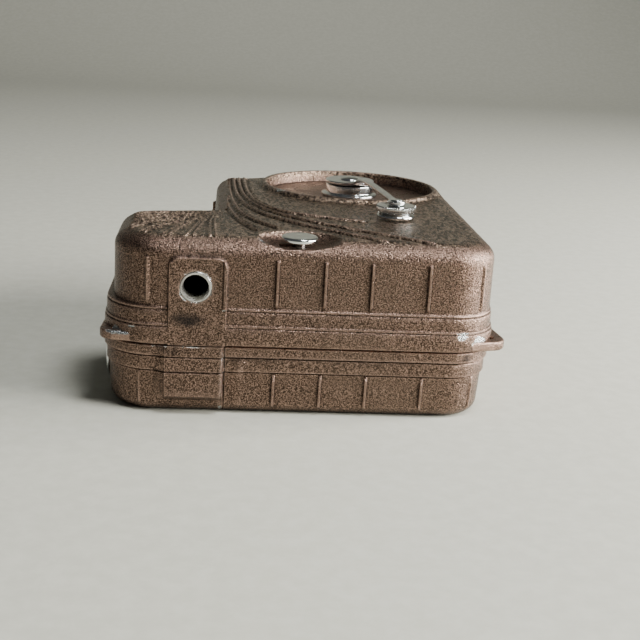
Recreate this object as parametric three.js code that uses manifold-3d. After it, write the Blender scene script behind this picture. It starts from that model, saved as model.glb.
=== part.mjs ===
// A pocket spring-wound 8 mm cine camera in a die-cast case, lying on its film door.
// Millimetres, +Z up. The lens looks along -X, the tripod socket faces -Y and the winding crank is on top.
// The case is drawn in case coordinates, whose zero is the front plane, the film door's seam and the table.
import * as THREE from "three";
import { mergeVertices } from "three/addons/utils/BufferGeometryUtils.js";
import Module from "manifold-3d";

const wasm = await Module();
wasm.setup();

// ---- Driving dimensions ----
const CASE = { left: -27.2, right: 60.4, top: 40.3, seam: 16.3, wall: 1.9 };
const LEAN = { flange: 0.7, wall: 1.9 }; // how far the lens end falls back above the seam
const SEAM_GAP = 0.12; // half the gap between two castings
const RECESS = { x: 33, y: 73, r: 22.8, floor: 38.3, rim: 41.3 }; // round dish that holds the crank
const BACK = { x: CASE.right - 26, y: 72.4, r: 26 }; // the case's round back corner
const SLOPE = THREE.MathUtils.degToRad(26); // how the finder side falls towards the lens
const NOTCH = { x: -3.7, y: 35.2 }; // inner corner between lens block and film body
const BLOCK_BACK_Y = 30.4; // where the lens block's back edge would meet its front
const LENS = { y: 18, z: 12 };
const MOUNT_HOLE = 8.4; // clearance for the lens mount's tube
const MOUNT_SEAT = 9.2; // radius of the spot face under the lens mount's flange
const MOUNT_FACE = CASE.left + 0.9; // where that spot face lies
const FILM_Z = { low: 8, high: 16 };
const PLATE = { low: 18.6, high: 20.1 }; // mechanism plate between film and clockwork
const SPOOL_R = 21;
const TAKEUP = { x: 33, y: 26 };
const BUSH = { x: -6.75, z: 29.7, bore: 2.95, r: 3.5, depth: 4.6 };
const PAD = { left: -12.9, right: 0.2, top: 36.4, proud: 0.9 };
const BUTTON = { x: 15.6, y: 5.2, r: 4.1, top: 40.6, travel: 3 };
const KNOB = { x: 40.1, y: 30.2, r: 4.75 };
const SHUTTER = { x: -10.5, z: 22.5, r: 12.4 };
const FRAME_ORIGIN = { x: 17.8, y: 49.18 }; // the whole object's middle, in case coordinates

// ---- Materials ----
const metal = (color, roughness) => new THREE.MeshStandardMaterial({ color, roughness, metalness: 0.9 });
const MATERIALS = {
  enamel: new THREE.MeshStandardMaterial({ color: 0x6b4f42, roughness: 0.45, metalness: 0.5 }),
  chrome: metal(0xc9ced2, 0.15),
  steel: metal(0x9a9da0, 0.35),
  brass: metal(0xb08d4a, 0.35),
  black: new THREE.MeshStandardMaterial({ color: 0x151515, roughness: 0.6, metalness: 0.2 }),
  glass: new THREE.MeshStandardMaterial({ color: 0x8fa3b0, roughness: 0.05, metalness: 0 }),
};

// ---- Solids ----
// A closed three.js geometry as a manifold-3d solid, turned face out if its profile ran the other way.
function toSolid(geometry) {
  const loose = geometry.index ? geometry.toNonIndexed() : geometry;
  const bare = new THREE.BufferGeometry().setAttribute("position", loose.getAttribute("position"));
  const merged = mergeVertices(bare, 1e-4);
  const index = merged.index.array;
  const triVerts = [];
  for (let i = 0; i < index.length; i += 3) {
    const [a, b, c] = [index[i], index[i + 1], index[i + 2]];
    if (a !== b && b !== c && a !== c) triVerts.push(a, b, c);
  }
  const made = (tris) =>
    new wasm.Manifold(
      new wasm.Mesh({
        numProp: 3,
        vertProperties: merged.attributes.position.array,
        triVerts: new Uint32Array(tris),
      }),
    );
  const solid = made(triVerts);
  return solid.volume() > 0 ? solid : made(triVerts.reverse());
}

function toGeometry(solid) {
  const { vertProperties, triVerts } = solid.getMesh();
  const geometry = new THREE.BufferGeometry();
  geometry.setAttribute("position", new THREE.BufferAttribute(new Float32Array(vertProperties), 3));
  geometry.setIndex(new THREE.BufferAttribute(new Uint32Array(triVerts), 1));
  geometry.computeVertexNormals();
  return geometry;
}

const join = (...solids) => solids.reduce((all, one) => all.add(one));
const cut = (solid, ...tools) => tools.reduce((left, tool) => left.subtract(tool), solid);

function block(x0, x1, y0, y1, z0, z1) {
  const box = new THREE.BoxGeometry(x1 - x0, y1 - y0, z1 - z0);
  return toSolid(box.translate((x0 + x1) / 2, (y0 + y1) / 2, (z0 + z1) / 2));
}

function rodZ(x, y, r, z0, z1, sides = 12) {
  const rod = new THREE.CylinderGeometry(r, r, z1 - z0, sides).rotateX(Math.PI / 2);
  return toSolid(rod.translate(x, y, (z0 + z1) / 2));
}

function rodX(y, z, r, x0, x1, sides = 12) {
  const rod = new THREE.CylinderGeometry(r, r, x1 - x0, sides).rotateZ(Math.PI / 2);
  return toSolid(rod.translate((x0 + x1) / 2, y, z));
}

function rodY(x, z, r, y0, y1, sides = 12) {
  const rod = new THREE.CylinderGeometry(r, r, y1 - y0, sides);
  return toSolid(rod.translate(x, (y0 + y1) / 2, z));
}

// A turned piece about Z; profile lists [radius, z].
function turnedZ(x, y, profile, sides = 16) {
  const lathe = new THREE.LatheGeometry(profile.map(([r, z]) => new THREE.Vector2(r, z)), sides);
  return toSolid(lathe.rotateX(Math.PI / 2).translate(x, y, 0));
}

// A turned piece about X, at the lens's height; profile lists [radius, x].
function turnedX(y, z, profile, sides = 20) {
  const lathe = new THREE.LatheGeometry(profile.map(([r, x]) => new THREE.Vector2(r, x)), sides);
  return toSolid(lathe.rotateZ(-Math.PI / 2).translate(0, y, z));
}

function prism(points, z0, z1) {
  const shape = new THREE.Shape(points.map(([x, y]) => new THREE.Vector2(x, y)));
  const made = new THREE.ExtrudeGeometry(shape, { depth: z1 - z0, bevelEnabled: false });
  return toSolid(made.translate(0, 0, z0));
}

// ---- The case's outline in plan ----
// Straight edges meet at these corners, counter-clockwise, each rounded to r with n steps.
const slopeAt = (x) => {
  const touchX = BACK.x - BACK.r * Math.sin(SLOPE);
  const touchY = BACK.y + BACK.r * Math.cos(SLOPE);
  return touchY + (x - touchX) * Math.tan(SLOPE);
};
const CORNERS = [
  { x: CASE.left, y: 0, r: 11.5, n: 6 },
  { x: CASE.right, y: 0, r: 10.5, n: 6 },
  { x: CASE.right, y: slopeAt(CASE.right), r: BACK.r, n: 12 },
  { x: NOTCH.x, y: slopeAt(NOTCH.x), r: 3.5, n: 3 },
  { x: NOTCH.x, y: NOTCH.y, r: 2.5, n: 2 },
  { x: CASE.left, y: BLOCK_BACK_Y, r: 6.5, n: 4 },
];
const LEAST_RADIUS = 0.2;

function outline(offset, lean = 0) {
  const corners = CORNERS.map((c) => ({ ...c, x: c.x === CASE.left ? c.x + lean : c.x }));
  const edges = corners.map((from, i) => {
    const to = corners[(i + 1) % corners.length];
    const along = new THREE.Vector2(to.x - from.x, to.y - from.y).normalize();
    const out = new THREE.Vector2(along.y, -along.x);
    return { along, start: new THREE.Vector2(from.x, from.y).addScaledVector(out, offset) };
  });
  return corners.flatMap((corner, i) => {
    const before = edges[(i + corners.length - 1) % corners.length];
    const after = edges[i];
    const turn = before.along.cross(after.along);
    const gap = after.start.clone().sub(before.start);
    const at = before.start.clone().addScaledVector(before.along, gap.cross(after.along) / turn);
    const side = Math.sign(turn);
    const radius = Math.max(LEAST_RADIUS, corner.r + side * offset);
    const angle = Math.acos(before.along.dot(after.along));
    const inward = new THREE.Vector2(-before.along.y, before.along.x).multiplyScalar(side);
    const start = at.clone().addScaledVector(before.along, -radius * Math.tan(angle / 2));
    const centre = start.clone().addScaledVector(inward, radius);
    return Array.from({ length: corner.n + 1 }, (_, k) =>
      start.clone().rotateAround(centre, (side * angle * k) / corner.n),
    );
  });
}

// A solid whose section at each level [z, offset, lean] is the outline moved outwards by offset.
function loft(levels) {
  const rings = levels.map(([z, ...shape]) => outline(...shape).map((p) => [p.x, p.y, z]));
  const count = rings[0].length;
  const faces = [];
  for (let level = 0; level + 1 < rings.length; level++) {
    for (let i = 0; i < count; i++) {
      const next = (i + 1) % count;
      const [low, high] = [rings[level], rings[level + 1]];
      faces.push([low[i], low[next], high[next]], [low[i], high[next], high[i]]);
    }
  }
  const cap = (ring, flip) => {
    const flat = ring.map(([x, y]) => new THREE.Vector2(x, y));
    for (const [a, b, c] of THREE.ShapeUtils.triangulateShape(flat, [])) {
      faces.push(flip ? [ring[a], ring[c], ring[b]] : [ring[a], ring[b], ring[c]]);
    }
  };
  cap(rings[0], true);
  cap(rings[rings.length - 1], false);
  const geometry = new THREE.BufferGeometry();
  geometry.setAttribute("position", new THREE.Float32BufferAttribute(faces.flat(2), 3));
  return toSolid(geometry);
}

// ---- Case decoration ----
// A raised rib that stands on a wall at [x, y], with the wall's outward direction in degrees.
function rib([x, y, facing], sink, z0, z1) {
  const width = 0.8;
  const bar = new THREE.BoxGeometry(1.2, width, z1 - z0).translate(-sink, 0, 0);
  bar.rotateZ(THREE.MathUtils.degToRad(facing)).translate(x, y, (z0 + z1) / 2);
  return toSolid(bar);
}
const FRONT_RIBS = [11, 21.5, 31.8, 44.5];
const RIGHT_RIBS = [16, 29, 42, 55, 68];
const NOTCH_RIBS = [46, 57, 68];
const RIBS = [
  ...FRONT_RIBS.map((x) => [x, 0.1, -90]),
  ...RIGHT_RIBS.map((y) => [CASE.right - 0.1, y, 0]),
  ...NOTCH_RIBS.map((y) => [NOTCH.x + 0.1, y, 180]),
];

// A strap lug: a round eye joined to the case by the two straight sides that touch it.
const LUG = { r: 3.7, hole: 1.1, low: CASE.seam, high: 18.5 };
function lug(eye, roots) {
  const steps = 10;
  const [first, last] = roots.map(([x, y], i) => {
    const away = Math.atan2(y - eye.y, x - eye.x);
    const spread = Math.acos(LUG.r / Math.hypot(x - eye.x, y - eye.y));
    return away + (i === 0 ? spread : -spread);
  });
  const sweep = THREE.MathUtils.euclideanModulo(last - first, 2 * Math.PI);
  const rim = Array.from({ length: steps + 1 }, (_, k) => {
    const a = first + (sweep * k) / steps;
    return [eye.x + LUG.r * Math.cos(a), eye.y + LUG.r * Math.sin(a)];
  });
  return prism([roots[0], ...rim, roots[1]], LUG.low, LUG.high);
}
const LUG_EYES = { right: { x: 59.8, y: 5.4 }, left: { x: -24.2, y: 5.1 } };
const LUG_ROOTS = {
  right: [[50, -0.8], [61.1, 24]],
  left: [[-27.2, 19], [-14, -0.8]],
};

// ---- Screws and posts ----
const SCREW = { head: 1.9, headHeight: 0.9, shank: 0.85, length: 5 };
const PLATE_POSTS = [[53.2, 5.8], [53.4, 49.5], [2.4, 77.6]];
const COVER_POSTS = [[-16.4, 6.8], [-16.4, 25.6]];

// A slotted screw that points up from its head's under side at z.
function screw(x, y, z) {
  const body = join(
    rodZ(x, y, SCREW.head, z - SCREW.headHeight, z, 12),
    rodZ(x, y, SCREW.shank, z - 0.1, z + SCREW.length, 8),
  );
  return cut(body, block(x - 3, x + 3, y - 0.25, y + 0.25, z - 2, z - 0.5));
}
const screwHole = (x, y, z) => rodZ(x, y, SCREW.shank + 0.1, z - 1, z + SCREW.length + 0.6, 8);

// ---- Upper casting ----
const WALL_TOP = [[37.6, -0.15], [39.2, -0.7], [40, -1.7], [CASE.top, -2.9]];
const UPPER_LEVELS = [
  [CASE.seam, 0.9, LEAN.flange], [21, 0.9, LEAN.flange], [21.2, 0.45, LEAN.flange],
  [24.8, 0.45, LEAN.flange], [25, 0, LEAN.wall],
  ...WALL_TOP.map(([z, offset]) => [z, offset, LEAN.wall]),
];
const BUTTON_SLOT = { low: 35, halfWidth: 1.5 };

function housing() {
  const outside = loft(UPPER_LEVELS);
  const rim = turnedZ(RECESS.x, RECESS.y, [
    [RECESS.r - 0.5, 37.5], [RECESS.r - 0.5, RECESS.rim - 0.5], [RECESS.r + 0.4, RECESS.rim],
    [23.9, RECESS.rim], [24.7, 40.4], [24.7, 37.5], [RECESS.r - 0.5, 37.5],
  ], 32);
  const padShape = [
    [PAD.left, CASE.seam], [PAD.right, CASE.seam], [PAD.right, PAD.top - 2.5],
    [PAD.right - 0.8, PAD.top - 0.8], [PAD.right - 2.5, PAD.top],
    [PAD.left + 2.5, PAD.top], [PAD.left + 0.8, PAD.top - 0.8], [PAD.left, PAD.top - 2.5],
  ];
  // The pad's outline is drawn in X and Z, so its prism is stood up on the front wall.
  const padPrism = new THREE.ExtrudeGeometry(
    new THREE.Shape(padShape.map(([x, z]) => new THREE.Vector2(x, z))),
    { depth: PAD.proud + 1, bevelEnabled: false },
  );
  const pad = toSolid(padPrism.rotateX(Math.PI / 2).translate(0, 1, 0));
  const ribs = RIBS.map((place) => rib(place, 0, 24.5, 36.3));
  const lugs = ["right", "left"].map((side) => lug(LUG_EYES[side], LUG_ROOTS[side]));
  const shell = join(outside, rim, pad, ...ribs, ...lugs);

  // The hollow keeps a floor under the dish and under the button's pocket.
  const ceiling = CASE.top - CASE.wall;
  const hollow = cut(
    loft([[CASE.seam - 1, -CASE.wall, LEAN.wall], [ceiling, -CASE.wall, LEAN.wall]]),
    rodZ(RECESS.x, RECESS.y, 24.9, RECESS.floor - CASE.wall, ceiling + 1, 32),
    block(2, 28, 0, 17, 35.6, ceiling + 1),
  );
  const dish = rodZ(RECESS.x, RECESS.y, RECESS.r, RECESS.floor, 43, 32);
  const scoop = new THREE.SphereGeometry(1, 16, 10).scale(9.2, 7, 3.2);
  const pocket = toSolid(scoop.translate(BUTTON.x, BUTTON.y - 0.6, 41));
  const slot = block(
    BUTTON.x - BUTTON.travel - 1.5, BUTTON.x + 1.5,
    BUTTON.y - BUTTON_SLOT.halfWidth, BUTTON.y + BUTTON_SLOT.halfWidth, BUTTON_SLOT.low, 41,
  );
  const open = cut(
    shell, hollow, dish, pocket, slot,
    rodZ(RECESS.x, RECESS.y, 4.2, 34, 40, 16),
    ...Object.values(LUG_EYES).map((eye) => rodZ(eye.x, eye.y, LUG.hole, 15, 20, 12)),
  );

  // Bosses inside: the tripod bush's seat, and posts for the plate and for the front cover.
  const seat = rodY(BUSH.x, BUSH.z, 5.6, 1, BUSH.depth + 0.7, 20);
  const platePosts = PLATE_POSTS.map(([x, y]) => rodZ(x, y, 2.2, PLATE.high + 0.05, ceiling + 0.5));
  const coverPosts = COVER_POSTS.map(([x, y]) => rodZ(x, y, 2, 2.2, ceiling + 0.5));
  return cut(
    join(open, seat, ...platePosts, ...coverPosts),
    rodY(BUSH.x, BUSH.z, BUSH.r + 0.06, -3, BUSH.depth + 0.05, 20),
    rodX(LENS.y, LENS.z, MOUNT_HOLE, -30, -18.5, 28),
    rodX(LENS.y, LENS.z, MOUNT_SEAT, -30, MOUNT_FACE, 28),
    rodZ(RECESS.x, RECESS.y, SPOOL_R + 0.6, 14, PLATE.low - 0.1, 32),
    ...PLATE_POSTS.map(([x, y]) => screwHole(x, y, PLATE.low)),
    ...PLATE_POSTS.map(([x, y]) => rodZ(x, y, SCREW.head + 0.2, 14, PLATE.low)),
    ...COVER_POSTS.map(([x, y]) => screwHole(x, y, 1)),
  );
}

// ---- Lower castings: the film door and the lens block's cover ----
const LOWER_INSET = 0.8; // the ribbed wall lies this far behind the upper casting's
const LOWER_LEVELS = [
  [0, -4.2], [0.35, -3], [1.1, -2], [2.4, -1.3], [9.9, -LOWER_INSET], [10.1, -0.2], [13.5, -0.2],
  [13.7, 0.3], [CASE.seam - SEAM_GAP, 0.3],
];
const BLOCK_EDGE_Y = 37; // the cover's part of the lower shell ends in the notch
const lowerOutside = loft(LOWER_LEVELS);
const lowerHollow = loft([[CASE.wall, -2 * CASE.wall], [4.2, -2.6], [CASE.seam + 1, -2.6]]);
const lensBlock = (grow) => block(-40, grow, -5, BLOCK_EDGE_Y, -1, 20);
const LATCH = { x: RECESS.x, y: 49.5, r: 6.6 };

function frontCover() {
  const square = block(-13.8, -0.5, -PAD.proud, 1.5, 3.9, CASE.seam - SEAM_GAP);
  const body = join(lowerOutside, square).intersect(lensBlock(-SEAM_GAP));
  const postHoles = COVER_POSTS.flatMap(([x, y]) => [
    rodZ(x, y, SCREW.shank + 0.15, -1, 4, 8),
    rodZ(x, y, SCREW.head + 0.15, -1, 1, 12),
  ]);
  return cut(
    body,
    lowerHollow,
    rodX(LENS.y, LENS.z, MOUNT_HOLE, -30, -18.5, 28),
    rodX(LENS.y, LENS.z, MOUNT_SEAT, -30, MOUNT_FACE, 28),
    ...postHoles,
  );
}

function filmDoor() {
  const ribs = RIBS.map((place) => rib(place, LOWER_INSET, 2.4, 10.3));
  const body = cut(join(lowerOutside, ...ribs), lensBlock(SEAM_GAP), lowerHollow);
  const latchSeat = [
    rodZ(LATCH.x, LATCH.y, LATCH.r + 0.2, -1, 0.9, 24),
    rodZ(LATCH.x, LATCH.y, 2.3, -1, 4),
  ];
  return cut(body, ...latchSeat);
}

// ---- Winding crank ----
// The arm runs from the dish's centre to the knob; its top follows [distance, z].
const ARM_LENGTH = Math.hypot(KNOB.x - RECESS.x, KNOB.y - RECESS.y);
const ARM_ANGLE = Math.atan2(KNOB.y - RECESS.y, KNOB.x - RECESS.x);
const ARM = { thick: 0.85, half: 1, head: 6.7, headTop: 42.7, eye: 2.1, eyeTop: 44.85 };
const ARM_RISE = [
  [3, ARM.headTop], [6.4, 42.9], [9, 44.1], [16, 45.3], [22, 45.4], [38, 44.9], [ARM_LENGTH, ARM.eyeTop],
];

function crankArm() {
  const top = ARM_RISE.map(([s, z]) => new THREE.Vector2(s, z));
  const under = ARM_RISE.map(([s, z]) => new THREE.Vector2(s, z - ARM.thick)).reverse();
  const side = new THREE.ExtrudeGeometry(new THREE.Shape([...top, ...under]), {
    depth: 2 * ARM.half,
    bevelEnabled: false,
  });
  side.rotateX(Math.PI / 2).translate(0, ARM.half, 0);
  const bar = toSolid(side.rotateZ(ARM_ANGLE).translate(RECESS.x, RECESS.y, 0));
  const head = rodZ(RECESS.x, RECESS.y, ARM.head, ARM.headTop - ARM.thick, ARM.headTop, 24);
  const eye = rodZ(KNOB.x, KNOB.y, ARM.eye, ARM.eyeTop - ARM.thick, ARM.eyeTop);
  return cut(
    join(bar, head, eye),
    rodZ(KNOB.x, KNOB.y, 0.95, 42, 46, 12),
    rodZ(RECESS.x, RECESS.y, 1.3, 41, 46, 12),
  );
}

const crankHub = () =>
  turnedZ(RECESS.x, RECESS.y, [
    [2.62, 38.45], [7.7, 38.45], [7.7, 39], [7.3, 39.2], [6.5, 39.4], [6.5, 41.5],
    [1.3, 41.5], [1.3, 41.2], [2.62, 41.2], [2.62, 38.45],
  ], 20);

const crankRivet = () =>
  turnedZ(RECESS.x, RECESS.y, [
    [0, 41.2], [1.2, 41.2], [1.2, 42.8], [2.7, 42.8], [2.4, 43.2], [1.5, 43.5], [0, 43.6],
  ], 16);

// The knurled knob hangs under the arm's end on a shouldered pin.
const KNOB_FOOT = 40.75;
const crankKnob = () =>
  turnedZ(KNOB.x, KNOB.y, [
    [1.05, KNOB_FOOT], [4.2, KNOB_FOOT], [4.6, 41], [4.5, 41.5], [3.2, 42.2], [3.2, 42.75],
    [KNOB.r, 42.85], [KNOB.r, 43.6], [4.5, 43.8], [1.05, 43.8], [1.05, KNOB_FOOT],
  ], 24);
const knobPin = () =>
  turnedZ(KNOB.x, KNOB.y, [
    [0, 40.6], [1.6, 40.6], [1.6, 40.7], [0.9, 40.7], [0.9, 44.9], [1.5, 44.9], [1.2, 45.15], [0, 45.25],
  ], 12);

// ---- Gears ----
const MODULE = 0.75;
const BARREL_MODULE = 1;

// A spur gear with slim teeth, so that a meshed pair turns freely. A tooth points along `towards`.
function gear(at, teeth, module, z0, z1, towards = 0) {
  const pitch = (2 * Math.PI) / teeth;
  const middle = (teeth * module) / 2;
  const [root, tip] = [middle - 1.1 * module, middle + 0.8 * module];
  const points = [];
  for (let i = 0; i < teeth; i++) {
    for (const [r, turn] of [[root, -0.24], [tip, -0.1], [tip, 0.1], [root, 0.24]]) {
      const a = towards + (i + turn) * pitch;
      points.push([at.x + r * Math.cos(a), at.y + r * Math.sin(a)]);
    }
  }
  return prism(points, z0, z1);
}
const bearing = (from, to) => Math.atan2(to.y - from.y, to.x - from.x);
const gapTowards = (from, to, teeth) => bearing(from, to) + Math.PI / teeth;

// The point at distance ra from a and rb from b, on the left of the way from a to b.
function meeting(a, ra, b, rb) {
  const apart = Math.hypot(b.x - a.x, b.y - a.y);
  const along = (ra * ra - rb * rb + apart * apart) / (2 * apart);
  const off = Math.sqrt(ra * ra - along * along);
  const [ux, uy] = [(b.x - a.x) / apart, (b.y - a.y) / apart];
  return { x: a.x + ux * along - uy * off, y: a.y + uy * along + ux * off };
}

const TEETH = {
  barrel: 42, first: [10, 32], second: [8, 24], takeupPinion: 8, takeup: 36,
  third: [8, 20], camshaft: 9, crownPinion: 8, crown: 16, governor: 7,
};
const reach = (a, b, module = MODULE) => ((a + b) * module) / 2;
const BARREL = { x: RECESS.x, y: RECESS.y, r: 19 };
const FIRST = (() => {
  const away = reach(TEETH.barrel, TEETH.first[0], BARREL_MODULE);
  const turn = THREE.MathUtils.degToRad(250);
  return { x: BARREL.x + away * Math.cos(turn), y: BARREL.y + away * Math.sin(turn) };
})();
const SECOND = meeting(
  TAKEUP, reach(TEETH.takeup, TEETH.takeupPinion), FIRST, reach(TEETH.first[1], TEETH.second[0]),
);
const CAMSHAFT = { x: 4.6, y: LENS.y };
const THIRD = meeting(
  CAMSHAFT, reach(TEETH.third[1], TEETH.camshaft), SECOND, reach(TEETH.second[1], TEETH.third[0]),
);
const GOVERNOR = (() => {
  const away = reach(TEETH.third[1], TEETH.governor);
  const turn = THREE.MathUtils.degToRad(-40);
  return { x: THIRD.x + away * Math.cos(turn), y: THIRD.y + away * Math.sin(turn) };
})();
const SHAFT = 0.9;
const shaftHole = (at) => rodZ(at.x, at.y, SHAFT + 0.08, PLATE.low - 1, PLATE.high + 1, 12);

// Each arbor: its pinion is in mesh with the wheel before it, its wheel with the pinion after it.
function firstArbor() {
  return join(
    gear(FIRST, TEETH.first[0], BARREL_MODULE, 31.8, 33.7, bearing(FIRST, BARREL)),
    gear(FIRST, TEETH.first[1], MODULE, 34.1, 35, gapTowards(FIRST, SECOND, TEETH.first[1])),
    rodZ(FIRST.x, FIRST.y, 1.6, 33.6, 34.2, 12),
    rodZ(FIRST.x, FIRST.y, SHAFT, PLATE.low, 35.9, 12),
  );
}
function secondArbor() {
  return join(
    gear(SECOND, TEETH.second[0], MODULE, 33.9, 35.2, bearing(SECOND, FIRST)),
    gear(SECOND, TEETH.second[1], MODULE, 29.6, 30.5, gapTowards(SECOND, THIRD, TEETH.second[1])),
    gear(SECOND, TEETH.takeupPinion, MODULE, 21.2, 22.6, bearing(SECOND, TAKEUP)),
    rodZ(SECOND.x, SECOND.y, SHAFT, PLATE.low, 35.9, 12),
  );
}
function thirdArbor() {
  return join(
    gear(THIRD, TEETH.third[0], MODULE, 29.4, 30.7, bearing(THIRD, SECOND)),
    gear(THIRD, TEETH.third[1], MODULE, 24.8, 25.7, gapTowards(THIRD, CAMSHAFT, TEETH.third[1])),
    rodZ(THIRD.x, THIRD.y, SHAFT, PLATE.low, 35.9, 12),
  );
}
const CLAW_THROW = 1.9;
function camshaft() {
  return join(
    gear(CAMSHAFT, TEETH.camshaft, MODULE, 24.6, 26, bearing(CAMSHAFT, THIRD)),
    gear(CAMSHAFT, TEETH.crownPinion, MODULE, 27.8, 29, Math.PI),
    rodZ(CAMSHAFT.x, CAMSHAFT.y, SHAFT, 17, 35.9, 12),
    rodZ(CAMSHAFT.x, CAMSHAFT.y, 3.2, 17, 18.2, 16),
    rodZ(CAMSHAFT.x + CLAW_THROW, CAMSHAFT.y, 0.6, 15.95, 17.1, 8),
  );
}
const GOVERNOR_PHASE = (() => {
  // A governor tooth sits in the third wheel's gap, whose first gap faces the camshaft.
  const pitch = (2 * Math.PI) / TEETH.third[1];
  const away = bearing(THIRD, GOVERNOR) - gapTowards(THIRD, CAMSHAFT, TEETH.third[1]);
  const late = away / pitch - Math.floor(away / pitch) - 0.5;
  return bearing(GOVERNOR, THIRD) + (late * 2 * Math.PI) / TEETH.governor;
})();
function governorSpindle() {
  return join(
    gear(GOVERNOR, TEETH.governor, MODULE, 24.6, 26, GOVERNOR_PHASE),
    rodZ(GOVERNOR.x, GOVERNOR.y, 0.8, PLATE.low, 34.4, 12),
  );
}
const governorDrum = () =>
  turnedZ(GOVERNOR.x, GOVERNOR.y, [
    [0.85, 26.4], [4.6, 26.4], [4.6, 29.2], [4.1, 29.2], [4.1, 27.2], [0.85, 27.2], [0.85, 26.4],
  ], 20);

// ---- Spring motor ----
const springBarrel = () =>
  turnedZ(BARREL.x, BARREL.y, [
    [2.7, 21], [BARREL.r, 21], [BARREL.r, 31.8], [BARREL.r - 0.9, 31.8], [BARREL.r - 0.9, 21.9],
    [2.7, 21.9], [2.7, 21],
  ], 28);
function greatWheel() {
  const facing = gapTowards(BARREL, FIRST, TEETH.barrel);
  const disc = gear(BARREL, TEETH.barrel, BARREL_MODULE, 32, 33.4, facing);
  return cut(disc, rodZ(BARREL.x, BARREL.y, 2.7, 30, 35));
}
// The mainspring: a flat strip wound from the arbor to the barrel's wall.
function mainspring() {
  const [turns, perTurn, thick, inner, outer] = [4, 14, 0.9, 4.2, 16.6];
  const steps = turns * perTurn;
  const at = (k, more) => {
    const a = (2 * Math.PI * k) / perTurn;
    const r = inner + ((outer - inner) * k) / steps + more;
    return [BARREL.x + r * Math.cos(a), BARREL.y + r * Math.sin(a)];
  };
  const edge = Array.from({ length: steps + 1 }, (_, k) => k);
  return prism([...edge.map((k) => at(k, thick)), ...edge.reverse().map((k) => at(k, 0))], 22.3, 31);
}
function windingArbor() {
  return join(
    rodZ(BARREL.x, BARREL.y, 2.5, PLATE.high + 0.2, 41.1),
    rodZ(BARREL.x, BARREL.y, 3.8, 22.1, 31.2),
  );
}
const RATCHET = { teeth: 20, root: 7, tip: 8, undercut: 0.03 };
function ratchetWheel() {
  const points = [];
  for (let i = 0; i < RATCHET.teeth; i++) {
    const a = (2 * Math.PI * i) / RATCHET.teeth;
    for (const [r, turn] of [[RATCHET.root, a], [RATCHET.tip, a + RATCHET.undercut]]) {
      points.push([BARREL.x + r * Math.cos(turn), BARREL.y + r * Math.sin(turn)]);
    }
  }
  return cut(prism(points, 33.8, 35.4), rodZ(BARREL.x, BARREL.y, 2.56, 30, 37));
}
const PAWL = { x: BARREL.x + 13.5, y: BARREL.y + 4 };
function ratchetPawl() {
  const tip = BARREL.x + RATCHET.tip + 0.4;
  const sides = [
    [tip, BARREL.y + 1.6], [PAWL.x, PAWL.y - 1.4], [PAWL.x, PAWL.y + 1.4], [tip, BARREL.y + 2.8],
  ];
  const finger = prism(sides, 34, 35.2);
  const eye = rodZ(PAWL.x, PAWL.y, 1.8, 34, 35.2, 12);
  return cut(join(finger, eye), rodZ(PAWL.x, PAWL.y, 0.8, 33, 36.2, 10));
}
const pawlStud = () => rodZ(PAWL.x, PAWL.y, 0.7, 33.8, RECESS.floor - CASE.wall - 0.05, 10);
const crankBearing = () =>
  turnedZ(RECESS.x, RECESS.y, [
    [2.58, 36.2], [5, 36.2], [5, 36.35], [4.04, 36.35], [4.04, 38.4], [2.58, 38.4], [2.58, 36.2],
  ], 16);

// ---- Film side ----
function spool(at) {
  const flange = 0.8;
  const [low, high] = [FILM_Z.low - 0.8 - flange, FILM_Z.high + 0.8 + flange];
  return turnedZ(at.x, at.y, [
    [3.05, low], [SPOOL_R, low], [SPOOL_R, low + flange], [7.5, low + flange],
    [7.5, high - flange], [SPOOL_R, high - flange], [SPOOL_R, high], [3.05, high], [3.05, low],
  ], 24);
}
// A spool's spindle: a thick part in the film chamber, a thin one up through the plate.
const spindle = ({ x, y }, top) =>
  join(rodZ(x, y, 2.9, 5.2, PLATE.low - 0.1), rodZ(x, y, 1.9, PLATE.low - 0.3, top));
function takeupSpindle() {
  return join(
    spindle(TAKEUP, 23.4),
    gear(TAKEUP, TEETH.takeup, MODULE, 21.4, 22.4, gapTowards(TAKEUP, SECOND, TEETH.takeup)),
  );
}
const ROLLERS = { upper: { x: 1.6, y: 34.6 }, lower: { x: -0.4, y: 5.4 } };
const roller = ({ x, y }) =>
  turnedZ(x, y, [
    [1.06, FILM_Z.low - 0.8], [2.5, FILM_Z.low - 0.8], [2.5, FILM_Z.low], [2, FILM_Z.low],
    [2, FILM_Z.high], [2.5, FILM_Z.high], [2.5, FILM_Z.high + 0.8], [1.06, FILM_Z.high + 0.8],
    [1.06, FILM_Z.low - 0.8],
  ], 16);
const rollerStud = ({ x, y }) =>
  join(rodZ(x, y, 1, 6.4, PLATE.low + 0.5, 12), rodZ(x, y, 1.8, 6, 6.7, 12));

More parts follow.
